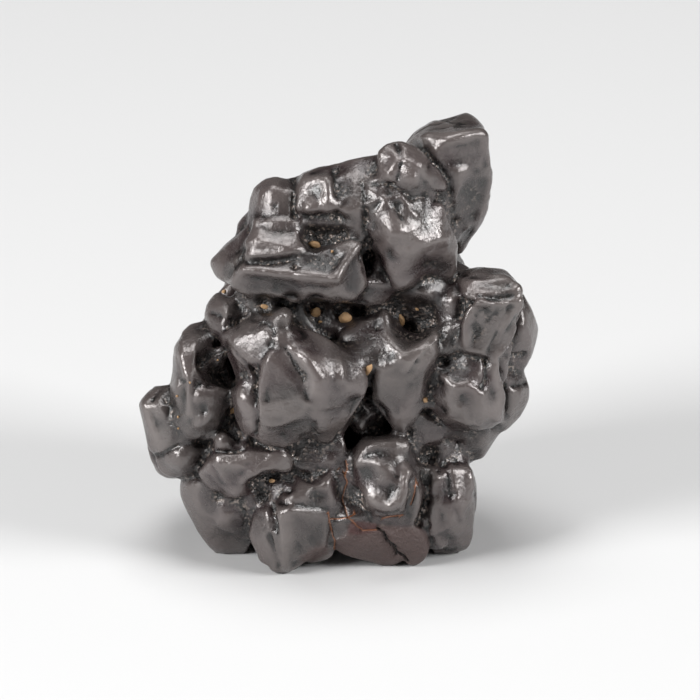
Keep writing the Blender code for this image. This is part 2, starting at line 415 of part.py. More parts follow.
# Hollows in the front: name: (rounding, near, far, taper, outline). The outline is (right, up), and the
# hollow runs away from the viewer from near to far, where it is narrower.
HOLLOWS = {
    "under_heart_cave": (0.4, -3, 13, 0.5, [
        (1.6, 20), (2.4, 22.6), (4.4, 25.2), (5.6, 24.2), (7.6, 21.8), (8.4, 20.2), (5.2, 19.8),
    ]),
    "beam_cave": (0.4, -2, 13, 0.5, [
        (-5.8, 39), (-1.4, 38.9), (-0.4, 37), (-1, 33.6), (-2.6, 34.2), (-4.6, 36.6),
    ]),
    "beam_cave_right": (0.4, -2, 12, 0.5, [
        (-1.8, 38.4), (4.4, 38.9), (5.2, 37.4), (1.8, 36), (-0.6, 35.2),
    ]),
    "beam_slot": (0.3, -2, 9, 0.7, [
        (-13, 37.4), (-10.6, 39.3), (-6.6, 39.1), (-8, 38.5), (-10.8, 37.9),
    ]),
    "left_cave": (0.4, -2, 14, 0.5, [
        (-19.2, 33), (-17, 33.8), (-15.8, 30.6), (-16, 27.6), (-18.4, 27.6), (-19.5, 30),
    ]),
    "funnel_bowl": (0.6, 0, 14, 0.45, [
        (8.2, 36), (9.2, 38.9), (12, 39.4), (14.4, 38), (14.6, 36), (12, 34.6), (9.4, 33.6),
    ]),
    "shell": (0.4, -2, 12, 0.5, [
        (11.7, 16.2), (12.7, 18.2), (14.8, 18), (14.9, 16), (13.2, 15.1),
    ]),
    "toe_cave": (0.4, -2, 9, 0.5, [
        (-12.6, 10.2), (-12.2, 12.2), (-9.2, 12.6), (-8.8, 10.8), (-10.6, 10),
    ]),
    "boot_pit": (0.4, -2, 4.6, 0.6, [
        (-13.3, 12.5), (-11, 14), (-9.5, 14.7), (-8.1, 14.4), (-7.9, 13.5), (-10, 12.1), (-12.4, 11.6),
    ]),
    "shoulder_hole": (0.3, -2, 9, 0.5, [
        (3.4, 43), (3.5, 46.2), (4.4, 46.6), (4.9, 44), (4.2, 42.6),
    ]),
}

# The back and the sides, which the front view hides. Here a corner is (right, back, height) in mm, and
# the root is how far back the lump's inner end is.
BACK_LUMPS = {
    "back_heart": (1, 18, [
        (-8, 29, 18), (-10, 31, 27), (-6, 34, 34), (1, 36, 37), (8, 35, 34), (12, 33, 26), (10, 34, 18),
        (3, 37, 15), (-4, 36, 15), (-3, 40, 22), (4, 41, 26), (-4, 39.5, 29), (7, 39, 21),
    ]),
    "back_brow": (1, 16, [
        (-18.5, 23, 25), (-18, 24, 31), (-14.5, 26, 38), (-9, 29, 42), (-5.5, 32, 39), (-8, 34.5, 31),
        (-13, 33.5, 26), (-17, 29, 24), (-12.5, 32.5, 35),
    ]),
    "back_shoulder": (1, 16, [
        (9, 33, 29), (10, 32.5, 41), (13, 29, 46), (15, 26, 44), (20, 24, 32), (22, 26.5, 27),
        (16, 33, 29), (14.5, 32.5, 38), (17, 29.5, 36),
    ]),
    "back_head": (0.9, 14, [
        (9.5, 27, 45), (9.5, 26, 53), (12.5, 28, 56.5), (17.5, 28, 57), (19.6, 24, 55), (20.2, 23, 47),
        (17.5, 30, 46), (15, 31, 52), (12, 31, 46),
    ]),
    "back_crown": (0.9, 15, [
        (-11, 22, 44.5), (-9.5, 26, 45.5), (-4, 28, 48), (3, 29, 49), (8, 27, 49.5), (9.5, 31, 42),
        (2, 33.5, 41), (-6, 32, 40), (-10, 29, 39), (3, 32, 46),
    ]),
    "back_left_side": (0.9, 14, [
        (-26, 20, 13), (-26.2, 18, 17.5), (-24.5, 24, 12), (-23, 28, 14), (-22.5, 26.5, 18.5),
        (-22, 19, 25), (-20.5, 25, 24.5), (-18.5, 30, 22), (-18, 31, 14), (-22, 24, 9), (-24, 24, 19),
    ]),
    "back_left_low": (0.9, 15, [
        (-19.5, 21, 5.5), (-18.5, 28, 6), (-17, 32, 10), (-10, 35.5, 12), (-8, 34.5, 6), (-13, 30.5, 3),
        (-19.5, 28, 14), (-12, 36, 18), (-17, 32.5, 18.5),
    ]),
    "back_foot_left": (0.9, 16, [
        (-14, 20, -0.9), (-16.5, 24, 2.5), (-12, 27.5, -0.9), (-8, 29, -0.8), (-5.5, 26, -0.8),
        (-5.5, 31.5, 6), (-13, 31, 6), (-9.5, 33, 4), (-8, 20, -0.8),
    ]),
    "back_foot_right": (0.9, 16, [
        (5.5, 26, -0.8), (4, 31.5, 5.5), (9, 33, 6), (10.5, 29, -0.8), (14.5, 25, -0.9), (16.5, 27, 7),
        (11.5, 20.5, -0.8), (8, 32, 1.5), (13.5, 30.5, 4),
    ]),
    "back_low_middle": (0.7, 18, [
        (-5, 31.5, 8), (-4.5, 35, 14), (3.5, 36, 15), (6, 34, 8), (1.5, 31, 3), (-3, 30.5, 3),
        (1, 37, 10), (-2.5, 36, 10),
    ]),
    "back_right_low": (0.9, 16, [
        (12, 33.5, 10), (14, 34, 20), (20, 29.5, 20), (20.8, 25, 12), (17.5, 28, 7), (9, 35, 17.5),
        (9.5, 34, 9), (16, 33, 13.5),
    ]),
    "back_right_side": (0.9, 14, [
        (25.6, 18, 24), (25, 22, 20), (26.3, 22, 28), (23.8, 28, 24), (23.5, 27, 31), (19.5, 31, 29),
        (19, 31, 21), (21.5, 28, 18), (26.2, 17, 31), (24.5, 21, 33),
    ]),
    "back_knob_high": (0.6, 26, [
        (-4.5, 34, 37), (-4, 36.5, 41), (-0.5, 35, 43), (2.5, 35.5, 40.5), (2, 37.5, 37),
        (-1.5, 38, 37.5),
    ]),
    "back_knob_left": (0.6, 26, [
        (-15, 32, 20.5), (-15.5, 33.5, 25), (-12, 36, 26.5), (-9, 37, 24), (-9.5, 36.5, 19.5),
        (-12.5, 35.5, 19),
    ]),
    "back_knob_right": (0.6, 26, [
        (11.5, 34, 22), (12, 35.5, 27.5), (15.5, 34.5, 29), (18, 33, 26), (17, 33, 21.5),
        (14, 35.5, 22.5),
    ]),
    "back_knob_low": (0.5, 22, [
        (3.5, 34.5, 6.5), (4.5, 37, 11), (8.5, 37, 12.5), (10, 35.5, 8.5), (7, 34.5, 5.5),
    ]),
    "body_back": (1, 16, [
        (-15.5, 29.5, 8), (-16, 29.5, 22), (-13, 30, 34), (-5, 30.5, 41), (6, 30.5, 42), (14, 29.5, 38),
        (18, 28.5, 24), (16, 30, 12), (9, 32, 6), (-9, 32, 6), (-4, 34.5, 17), (5, 35, 18),
        (-1, 35, 32), (12, 32.5, 28), (-11, 33, 22),
    ]),
    "saddle": (0.6, 16, [
        (6.5, 21, 50), (6, 25, 51.5), (8.5, 28, 52), (11, 27, 51), (10, 21, 52.5), (8, 22, 53),
    ]),
}

# Lumps on the top, with corners as (right, back, height). The root is the height of the inner end.
TOP_LUMPS = {
    "top_left": (0.7, 40, [
        (-10.5, 16, 50), (-10, 19, 52), (-6, 17, 53.8), (-3, 18, 53.6), (-2, 23, 51.4), (-6, 25, 49.6),
        (-9.8, 23, 48.5), (-10.8, 19, 48),
    ]),
    "top_middle": (0.7, 40, [
        (-1.6, 18, 53.6), (1, 16, 55), (5, 17, 56), (6.5, 20, 54.8), (5, 25, 52), (-1, 24, 51.4),
    ]),
    "top_right_ledge": (0.7, 24, [
        (15, 20, 40.5), (21, 18, 38.5), (23.5, 21, 34), (18.5, 24, 36.5), (15, 24, 40.5),
    ]),
    "top_left_ledge": (0.7, 20, [
        (-17, 18, 35.5), (-14.5, 18, 39), (-13, 23, 40), (-16.5, 23, 35), (-19.5, 19, 30),
        (-19, 23, 28.5),
    ]),
}

# Hollows under the stone, which leave it standing on a few feet, with corners as (right, back, height).
ARCHES = {
    "arch_middle": (1, [
        (-10, 10.5, -3), (8, 11, -3), (11, 17, -3), (7, 25, -3), (-6, 25, -3), (-12, 18, -3),
        (-6, 13.5, 3.4), (4, 13, 3.2), (6.5, 19, 4.6), (-5, 21, 3.8), (-8, 16, 2.6),
    ]),
    "arch_back": (0.8, [
        (-4, 22, -3), (3, 22, -3), (5, 36, -3), (-5, 36, -3), (-2, 24, 3.2), (2, 24, 3), (2.5, 36, 4.2),
        (-2.5, 36, 4),
    ]),
    "arch_left": (0.8, [
        (-24, 15.5, -3), (-12, 16.5, -3), (-11, 21.5, -3), (-24, 22, -3), (-24, 17, 3.8),
        (-12, 18, 2.2), (-12, 20.5, 2.2), (-24, 20.5, 3.8),
    ]),
    "arch_right": (0.8, [
        (24, 15.5, -3), (11, 16.5, -3), (10, 22, -3), (24, 21.5, -3), (24, 17, 3.4), (12, 18, 2.6),
        (12, 20.5, 2.8), (24, 20.5, 3.4),
    ]),
    "arch_front_left": (0.4, [
        (-13.4, 3, -3), (-10.4, 3.6, -3), (-9.4, 11, -3), (-13.2, 11, -3), (-12.8, 4, 1.8),
        (-11, 5, 1.6), (-10.6, 11, 1.8), (-12.6, 11, 2.2),
    ]),
    "arch_front": (0.4, [
        (-4, 1, -3), (1.4, 1, -3), (1, 11, -3), (-4, 11, -3), (-3, 2, 0.7), (0.4, 2, 0.9), (0, 11, 1.6),
        (-3, 11, 1.6),
    ]),
    "arch_front_right": (0.4, [
        (13, 3, -3), (10.6, 11, -3), (13.4, 13, -3), (14, 9, -3), (12.9, 4, 1), (11.4, 11, 1.6),
        (13, 12.5, 1.6),
    ]),
}


def place(right, back, height):
    """A point of the drawing in the stone's own frame, in metres."""
    return Vector((right - MIDDLE_RIGHT, back - MIDDLE_BACK, height)) * MM


def seen(right, up, back):
    """The point that the front view shows at (right, up), that far back."""
    height = (up - GROUND_SEEN_UP - back * math.sin(VIEW_ELEVATION)) / math.cos(VIEW_ELEVATION)
    return place(right, back, height)


def drawn_together(outline, share):
    """An outline made smaller about its middle."""
    across = sum(p[0] for p in outline) / len(outline)
    along = sum(p[1] for p in outline) / len(outline)
    return [(across + share * (p[0] - across), along + share * (p[1] - along)) for p in outline]


def new_object(name, shape):
    mesh = bpy.data.meshes.new(name)
    shape.to_mesh(mesh)
    shape.free()
    return bpy.data.objects.new(name, mesh)


def hull(name, rounding, corners, roots=()):
    """A lump as one convex hull. Its corners are worn round, and its roots, inside the stone, are not."""
    middle = sum(corners, Vector()) / len(corners)
    ball = bmesh.new()
    bmesh.ops.create_icosphere(ball, subdivisions=1, radius=rounding * MM)
    shape = bmesh.new()
    for corner in corners:
        centre = corner + (middle - corner).normalized() * rounding * MM
        for point in ball.verts:
            shape.verts.new(centre + point.co)
    for corner in roots:
        shape.verts.new(corner)
    ball.free()
    bmesh.ops.convex_hull(shape, input=shape.verts)
    bmesh.ops.delete(shape, geom=[v for v in shape.verts if not v.link_faces], context="VERTS")
    bmesh.ops.dissolve_limit(shape, angle_limit=FLAT_ANGLE, verts=shape.verts, edges=shape.edges)
    bmesh.ops.triangulate(shape, faces=shape.faces)
    bmesh.ops.recalc_face_normals(shape, faces=shape.faces)
    return new_object(name, shape)


def front_lump(name, rounding, root, corners):
    roots = [seen(right, up, root) for right, up in drawn_together(corners, ROOT_SHRINK)]
    return hull(name, rounding, [seen(*c) for c in corners], roots)


def back_lump(name, rounding, root, corners):
    outline = drawn_together([(right, height) for right, back, height in corners], ROOT_SHRINK)
    roots = [place(right, root, height) for right, height in outline]
    return hull(name, rounding, [place(*c) for c in corners], roots)


def top_lump(name, rounding, root, corners):
    return hull(name, rounding, [place(*c) for c in corners], [place(c[0], c[1], root) for c in corners])


def hollow(name, rounding, near, far, taper, outline):
    mouth = [seen(right, up, near) for right, up in outline]
    end = [seen(right, up, far) for right, up in drawn_together(outline, taper)]
    return hull(name, rounding, mouth + end)


def arch(name, rounding, corners):
    return hull(name, rounding, [place(*c) for c in corners])


def ground_block():
    """A block whose top is the ground, z = 0. Cutting it away leaves flat feet."""
    shape = bmesh.new()
    bmesh.ops.create_cube(shape, size=1.0)
    size = Matrix.Diagonal((GROUND_SIDE * MM, GROUND_SIDE * MM, GROUND_DEPTH * MM, 1))
    sunk = Matrix.Translation((0, 0, -GROUND_DEPTH / 2 * MM))
    bmesh.ops.transform(shape, verts=shape.verts, matrix=sunk @ size)
    return new_object("ground", shape)


def all_lumps():
    lumps = []
    for table in (CORE_LUMPS, BODY_LUMPS, FRONT_LUMPS):
        lumps += [front_lump(name, *lump) for name, lump in table.items()]
    lumps += [back_lump(name, *lump) for name, lump in BACK_LUMPS.items()]
    lumps += [top_lump(name, *lump) for name, lump in TOP_LUMPS.items()]
    return lumps


def all_hollows():
    hollows = [hollow(name, *shape) for name, shape in HOLLOWS.items()]
    return hollows + [arch(name, *shape) for name, shape in ARCHES.items()]


def new_collection(name, items):
    made = bpy.data.collections.new(name)
    bpy.context.scene.collection.children.link(made)
    for item in items:
        made.objects.link(item)
    return made


def add(item, name, kind, **settings):
    """Add a modifier with its settings."""
    made = item.modifiers.new(name, kind)
    for key, value in settings.items():
        setattr(made, key, value)


def limonite():
    """Dark brown iron oxide with a dull, waxy shine."""
    made = bpy.data.materials.new("limonite")
    made.use_nodes = True
    shader = made.node_tree.nodes["Principled BSDF"]
    shader.inputs["Base Color"].default_value = STONE_COLOUR
    shader.inputs["Roughness"].default_value = STONE_ROUGHNESS
    return made


def report(stone):
    """Print the solid's size, and whether it is closed."""
    bpy.context.view_layer.update()
    shape = bmesh.new()
    shape.from_object(stone, bpy.context.evaluated_depsgraph_get())
    bmesh.ops.triangulate(shape, faces=shape.faces)
    loose = sum(1 for edge in shape.edges if len(edge.link_faces) != 2)
    lows = [round(min(v.co[i] for v in shape.verts) / MM, 2) for i in range(3)]
    highs = [round(max(v.co[i] for v in shape.verts) / MM, 2) for i in range(3)]
    print("triangles", len(shape.faces), "open edges", loose)
    print("volume cm3", round(shape.calc_volume() * 1e6, 2))
    print("box mm", lows, highs)
    shape.free()


def main():
    for item in list(bpy.data.objects):
        bpy.data.objects.remove(item)
    stone, *lumps = all_lumps()
    stone.name = "stone"
    ground = ground_block()
    new_collection("prophecy stone", [stone])
    joined = new_collection("joined lumps", lumps)
    cutters = new_collection("cutters", all_hollows())
    cut_last = new_collection("last cutter", [ground])
    for collection in (joined, cutters, cut_last):
        for item in collection.objects:
            item.hide_render = True
            item.display_type = "WIRE"
    add(stone, "lumps", "BOOLEAN", operation="UNION", operand_type="COLLECTION", collection=joined,
        solver="EXACT")
    add(stone, "hollows", "BOOLEAN", operation="DIFFERENCE", operand_type="COLLECTION",
        collection=cutters, solver="EXACT")
    add(stone, "even skin", "REMESH", mode="VOXEL", voxel_size=SKIN_GRID * MM)
    add(stone, "wear", "SMOOTH", factor=0.5, iterations=WEAR_PASSES)
    add(stone, "facets", "DECIMATE", ratio=FACETS_KEPT)
    add(stone, "flat feet", "BOOLEAN", operation="DIFFERENCE", object=ground, solver="EXACT")
    stone.data.materials.append(limonite())
    report(stone)


main()
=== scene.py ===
# %% [markdown]
# # A prophecy stone
# The stone is a hand-sized cluster of iron oxide crystals that desert sand has worn to waxy lumps.
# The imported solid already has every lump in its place, but its faces are flat and its edges plain.
# This lesson carves a fine copy of it as wind and sand did, and then gives it its dark finish.

# %% Load the solid
import math

import bmesh
import bpy
import numpy as np
from mathutils import Matrix, Vector, noise
from mathutils.bvhtree import BVHTree
from mathutils.kdtree import KDTree


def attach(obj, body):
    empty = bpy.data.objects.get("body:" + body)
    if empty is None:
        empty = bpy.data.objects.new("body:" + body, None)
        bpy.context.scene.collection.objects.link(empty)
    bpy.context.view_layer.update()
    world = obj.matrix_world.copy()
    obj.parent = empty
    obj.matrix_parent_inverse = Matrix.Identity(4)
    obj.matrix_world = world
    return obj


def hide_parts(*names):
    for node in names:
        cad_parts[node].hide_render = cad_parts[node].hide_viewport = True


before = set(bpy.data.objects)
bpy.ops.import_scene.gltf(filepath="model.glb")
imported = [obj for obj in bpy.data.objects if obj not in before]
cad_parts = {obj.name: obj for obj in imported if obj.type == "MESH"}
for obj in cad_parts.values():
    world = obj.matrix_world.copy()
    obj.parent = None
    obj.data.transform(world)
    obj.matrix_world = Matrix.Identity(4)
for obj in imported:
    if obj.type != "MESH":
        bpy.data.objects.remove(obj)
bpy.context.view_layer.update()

MM = 0.001
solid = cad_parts["stone"]

# %% [markdown]
# ## The photographer's measure
# A feature that is seen on the front is named by two numbers: millimetres to the right, and
# millimetres up in the picture. The camera looks down by 22 degrees, so a picture's "up" mixes
# height with depth. One function turns points of the mesh into such pairs, and every stroke of
# the carving uses it.

# %% Right and up as the camera sees them
VIEW_ELEVATION = math.radians(22)
TOWARDS_CAMERA = np.array([0.0, -math.cos(VIEW_ELEVATION), math.sin(VIEW_ELEVATION)])
# In the picture's millimetres: how high the ground starts, and where the solid's middle lies.
GROUND_SEEN_UP = -0.92
MIDDLE_RIGHT, MIDDLE_BACK = 0.18, 18.70
# Right, up and back: the middle of the front, and a depth that is clear of the stone.
FRONT_MIDDLE = (1.714, 32, 18)
CLEAR_OF_STONE = -60


def as_seen(points):
    right = points[:, 0] / MM + MIDDLE_RIGHT
    back = points[:, 1] / MM + MIDDLE_BACK
    up = (points[:, 2] / MM * math.cos(VIEW_ELEVATION) + back * math.sin(VIEW_ELEVATION)
          + GROUND_SEEN_UP)
    return np.column_stack([right, up])


def from_seen(right, up, back):
    height = (up - GROUND_SEEN_UP - back * math.sin(VIEW_ELEVATION)) / math.cos(VIEW_ELEVATION)
    return Vector((right - MIDDLE_RIGHT, back - MIDDLE_BACK, height)) * MM


print("the front's middle lies at", [round(v, 4) for v in from_seen(*FRONT_MIDDLE)])

# %% [markdown]
# ## Clay for the deepest holes
# The solid's hollows are plain tapered cuts. In the real stone their floors are lumpy and lie
# nearer to the eye. So a rough ball goes into each before the skin is drawn over all of it, which
# joins them. How deep a ball sits is measured from the rim: rays from the camera, in a ring
# round the hole, meet the solid, and their middle depth is the rim's.

# %% Rough balls that sit below the rims
# Right, up, half width, half height and depth below the rim, in millimetres.
PLUGS = [
    (-18.0, 30.4, 2.2, 3.1, 1.1), (13.2, 17.0, 2.2, 2.1, 1.6), (-10.7, 11.0, 2.0, 1.8, 1.3),
    (-8.9, 33.8, 1.6, 1.8, -0.3), (11.8, 37.0, 2.7, 2.4, 2.4), (-3.2, 37.4, 1.9, 1.7, 1.5),
    (0.8, 36.9, 1.7, 1.6, 1.4), (-11.0, 38.6, 2.4, 1.3, 1.2), (4.0, 23.0, 3.0, 3.4, 3.6),
    (16.9, 20.2, 1.5, 1.2, 0.8), (6.2, 54.6, 2.2, 1.6, 0.0), (9.6, 54.0, 2.2, 1.6, 0.0),
    (4.2, 31.2, 3.0, 1.7, -0.1), (7.4, 33.2, 1.6, 1.8, 0.3), (1.4, 33.4, 1.4, 1.8, 0.6),
    (15.2, 33.4, 1.5, 2.4, 0.5), (14.3, 28.6, 1.3, 2.0, 0.6), (13.0, 25.0, 1.2, 1.6, 0.8),
    (-9.4, 50.6, 2.6, 1.0, 0.3), (-6.3, 53.6, 0.9, 2.2, 0.4), (3.6, 35.0, 2.2, 1.8, 0.3),
    (17.5, 30.8, 2.6, 0.9, 0.3), (15.6, 34.8, 1.5, 1.6, 0.0), (11.8, 11.0, 1.0, 3.0, 0.5),
    (12.7, 6.5, 0.9, 2.4, 0.5), (-5.4, 48.2, 0.9, 1.4, 0.5), (-8.2, 35.2, 1.3, 1.0, -0.2),
    (-1.6, 35.2, 1.5, 1.4, 0.2), (15.0, 32.2, 1.4, 2.2, -0.1),
]
RING_RAYS = 14
RING_WIDER = 1.25
PLUG_LUMPS, PLUG_LUMPINESS = 1.6, 0.22


def towards_stone(tree, right, up):
    """The point and normal where a line from the camera meets the surface in tree."""
    return tree.ray_cast(from_seen(right, up, CLEAR_OF_STONE), Vector(-TOWARDS_CAMERA))[:2]


def add_ball(work, middle, half_sizes, turn, lump):
    made = bmesh.ops.create_icosphere(work, subdivisions=3, radius=1.0)["verts"]
    for vert in made:
        vert.co *= 1 + lump(vert.co)
    lean = Matrix.Rotation(VIEW_ELEVATION, 4, "X") @ Matrix.Rotation(math.radians(turn), 4, "Y")
    placed = Matrix.Translation(middle) @ lean @ Matrix.Diagonal((*half_sizes, 1))
    bmesh.ops.transform(work, matrix=placed, verts=made)


def add_plug(work, tree, index, right, up, half_wide, half_tall, below):
    way = Vector(TOWARDS_CAMERA)
    hits = [towards_stone(tree, right + RING_WIDER * half_wide * math.cos(turn),
                          up + RING_WIDER * half_tall * math.sin(turn))[0]
            for turn in np.linspace(0, 2 * math.pi, RING_RAYS, endpoint=False)]
    rim = float(np.median([hit.dot(way) for hit in hits if hit is not None]))
    half_deep = min(half_wide, half_tall) * MM
    start = from_seen(right, up, CLEAR_OF_STONE)
    middle = start + way * (rim - below * MM - half_deep - start.dot(way))
    apart = Vector((index * 5.3, 0, 0))
    add_ball(work, middle, (half_wide * MM, half_deep, half_tall * MM), 0,
             lambda place: PLUG_LUMPINESS * noise.noise(place * PLUG_LUMPS + apart))


print("holes to fill:", len(PLUGS))

# %% [markdown]
# ## An even skin
# Sculpting needs points spread evenly, which the solid's long triangles aren't. So a copy's loose
# triangles are merged, and a voxel remesh lays a grid of squares 0.3 mm wide over it.
# Subdivision would also add points, but most would land on the small faces that need none.

# %% Copy, merge and remesh
SKIN_GRID = 0.30 * MM
MERGE_WITHIN = 0.001 * MM


def apply_modifiers(piece):
    baked = bpy.data.meshes.new_from_object(
        piece.evaluated_get(bpy.context.evaluated_depsgraph_get()))
    piece.modifiers.clear()
    piece.data = baked


def add_object(name, data):
    made = bpy.data.objects.new(name, data)
    bpy.context.scene.collection.objects.link(made)
    return made


stone_mesh = bpy.data.meshes.new("worn_stone")
work = bmesh.new()
work.from_mesh(solid.data)
bmesh.ops.remove_doubles(work, verts=work.verts, dist=MERGE_WITHIN)
solid_tree = BVHTree.FromBMesh(work)
for index, measures in enumerate(PLUGS):
    add_plug(work, solid_tree, index, *measures)
work.to_mesh(stone_mesh)
work.free()
stone = add_object("worn_stone", stone_mesh)
remesh = stone.modifiers.new("even skin", "REMESH")
remesh.mode = "VOXEL"
remesh.voxel_size = SKIN_GRID
apply_modifiers(stone)
print("skin of", len(stone.data.vertices), "points")

# %% [markdown]
# ## Tools that move points
# Moving points in code is sculpting: `eased` is the smooth brush, since it draws each point
# towards the mean of its neighbours. Repeated, it wears away ever larger shapes. What a point
# stands out of or lies sunk in an eased copy, along its normal, tells ridges from creases.

# %% Smooth brush
def read_points(mesh, what="co"):
    values = np.empty(len(mesh.vertices) * 3, np.float32)
    mesh.vertices.foreach_get(what, values)
    return values.reshape(-1, 3).astype(float)


def write_points(mesh, points):
    mesh.vertices.foreach_set("co", points.astype(np.float32).ravel())
    mesh.update()


def read_edges(mesh):
    ends = np.empty(len(mesh.edges) * 2, np.int32)
    mesh.edges.foreach_get("vertices", ends)
    return ends.reshape(-1, 2)


def eased(values, ends, rounds, share=0.5):
    first, second, count = ends[:, 0], ends[:, 1], len(values)
    joined = np.bincount(first, minlength=count) + np.bincount(second, minlength=count)
    for _ in range(rounds):
        mean = np.column_stack([
            np.bincount(first, column[second], count) + np.bincount(second, column[first], count)
            for column in values.T]) / joined[:, None]
        values = values + share * (mean - values)
    return values


def unit(vectors):
    return vectors / np.maximum(np.linalg.norm(vectors, axis=1, keepdims=True), 1e-12)


def soft_normals(rounds, share=0.5):
    return unit(eased(read_points(stone.data, "normal"), edges, rounds, share))


def sunk_in(worn, points, normals):
    return np.sum((worn - points) * normals, axis=1)


edges = read_edges(stone.data)
print("edges of the skin:", len(edges))

# %% [markdown]
# ## From cut to grown
# The solid's edges are straight and its gaps are narrow, as cut hulls are. Nothing grown is
# straight, so every point first drifts along a slow noise, which bends the edges and faces
# together. Then the deepest gaps are partly filled: a point that lies far inside the eased
# shape is drawn towards it, which turns slots and holes into the open hollows of the real one.

# %% Bend the edges and fill the gaps
# A drift is a distance and the length of its waves, in millimetres. It fades towards the feet.
DRIFTS = ((0.55, 5.5), (0.14, 2.4))
FADES_BELOW = 2.5 * MM
FILL_ROUNDS = 90
FILL_FROM, FILL_FULL = 1.0 * MM, 2.4 * MM
FILL_SHARE = 0.4


def wavy(points, size, seed):
    offset = Vector((seed * 17.3, seed * 5.1, seed * 9.7))
    scale = 1 / (size * MM)
    return np.array([noise.noise(Vector(p) * scale + offset) for p in points])


points = read_points(stone.data)
start_height = points[:, 2].copy()
off_ground = np.clip(start_height / FADES_BELOW, 0, 1)
for seed, (distance, size) in enumerate(DRIFTS):
    drift = np.column_stack([wavy(points, size, 3 * seed + axis) for axis in (1, 2, 3)])
    points += distance * MM * off_ground[:, None] * drift
write_points(stone.data, points)
filled = eased(points, edges, FILL_ROUNDS, 0.9)
sunk = sunk_in(filled, points, soft_normals(50, 0.8))
share = FILL_SHARE * np.clip((sunk - FILL_FROM) / (FILL_FULL - FILL_FROM), 0, 1)
points += eased(share[:, None], edges, 8) * (filled - points)
print("gaps as deep as", round(sunk.max() / MM, 1), "mm filled in part")

# %% [markdown]
# ## Facets with worn rims
# Blown sand scours the middle of a crystal's face more than its rim, so each face is a shallow
# dish with a rounded, raised border. The same look comes from a large-radius sharpen: each point
# moves away from the worn shape, which lifts ridges and sinks hollows. Then a light smooth rounds
# the borders as wax would.

# %% Sharpen wide, smooth narrow
WEAR_ROUNDS, WAX_ROUNDS = 9, 4
RIM_ROUNDS = 30
RIM_LIFT = 0.55
RIM_MOST = 0.34 * MM

points = eased(points, edges, WEAR_ROUNDS)
write_points(stone.data, points)
normals = soft_normals(4)
standing_out = -sunk_in(eased(points, edges, RIM_ROUNDS), points, normals)
lift = RIM_MOST * np.tanh(RIM_LIFT * standing_out / RIM_MOST)
points = points + lift[:, None] * normals
points = eased(points, edges, WAX_ROUNDS)
write_points(stone.data, points)
print("rims lifted by up to", round(lift.max() / MM, 2), "mm")

# %% [markdown]
# ## What the front shows
# The strokes that follow copy single marks of this stone, and belong only on points that the
# camera sees. A ray from each point towards the camera tells which those are. The answer is
# smoothed, so that no stroke ends in a step.

# %% Find the points seen from the front
# Rays start off the surface, along its normal and forwards, so as not to meet their own face.
EDGE_ON = 0.02
OFF_SURFACE, OFF_FORWARDS = 0.12 * MM, 0.10 * MM


def seen_from_front(points, normals):
    surface = BVHTree.FromPolygons([tuple(p) for p in points],
                                   [tuple(face.vertices) for face in stone.data.polygons])
    way = Vector(TOWARDS_CAMERA)
    facing = normals @ TOWARDS_CAMERA
    seen = np.zeros(len(points))
    for index in np.flatnonzero(facing > EDGE_ON):
        origin = Vector(points[index]) + Vector(normals[index]) * OFF_SURFACE + way * OFF_FORWARDS
        if surface.ray_cast(origin, way)[0] is None:
            seen[index] = 1.0
    seen = eased(seen[:, None], edges, 3)[:, 0]
    return np.clip(seen * 1.6 - 0.3, 0, 1) * np.clip(facing * 3, 0, 1), surface


normals = soft_normals(2)
seen_mask, surface = seen_from_front(points, normals)
print("seen from the front:", int((seen_mask > 0.5).sum()), "of", len(points), "points")

# %% [markdown]
# ## Three strokes
# A carver needs few tools. `line` raises a ridge or cuts a groove along a path, `spot` raises a
# bump or sinks a dent, and `facet` planes the surface inside an outline and may dish it. Each
# works on points near its path in the picture, and moves them along the surface's own normal.

# %% Carving tools
# A facet's weight rises over its edge, in millimetres, and points far off its plane belong to
# another face. A spot is flatter on top than a bell, and a dish deepens fast at its rim.
FACET_EDGE = 0.45
SAME_FACE = 1.6 * MM
FEWEST_POINTS = 12
SPOT_POWER, DISH_POWER = 2.6, 0.6


def distance_to_path(places, path):
    nearest = np.full(len(places), np.inf)
    for start, end in zip(path[:-1], path[1:]):
        start, along = np.array(start), np.subtract(end, start)
        share = np.clip((places - start) @ along / (along @ along), 0, 1)
        gap = np.linalg.norm(places - start - share[:, None] * along, axis=1)
        nearest = np.minimum(nearest, gap)
    return nearest


def inside(places, outline):
    crossings = np.zeros(len(places), bool)
    for (x0, y0), (x1, y1) in zip(outline, outline[1:] + outline[:1]):
        if y0 == y1:
            continue
        passes = (y0 > places[:, 1]) != (y1 > places[:, 1])
        crossings ^= passes & (places[:, 0] < x0 + (places[:, 1] - y0) * (x1 - x0) / (y1 - y0))
    return crossings


def depth_inside(places, outline):
    depth = distance_to_path(places, outline + outline[:1])
    depth[~inside(places, outline)] *= -1
    return depth


def bell(places, path, width):
    return np.exp(-(distance_to_path(places, path) / width) ** 2)


def near(places, path, reach):
    low, high = np.min(path, axis=0) - reach, np.max(path, axis=0) + reach
    return np.flatnonzero(np.all((places > low) & (places < high), axis=1))


def line(points, amount, width, path):
    chosen = near(places, path, 3 * width)
    fall = bell(places[chosen], path, width)
    points[chosen] += (amount * MM * fall * seen_mask[chosen])[:, None] * normals[chosen]


def spot(points, amount, radius, path):
    chosen = near(places, path, 2.2 * radius)
    gap = np.linalg.norm(places[chosen] - path[0], axis=1) / radius
    fall = np.exp(-gap ** SPOT_POWER)
    points[chosen] += (amount * MM * fall * seen_mask[chosen])[:, None] * normals[chosen]


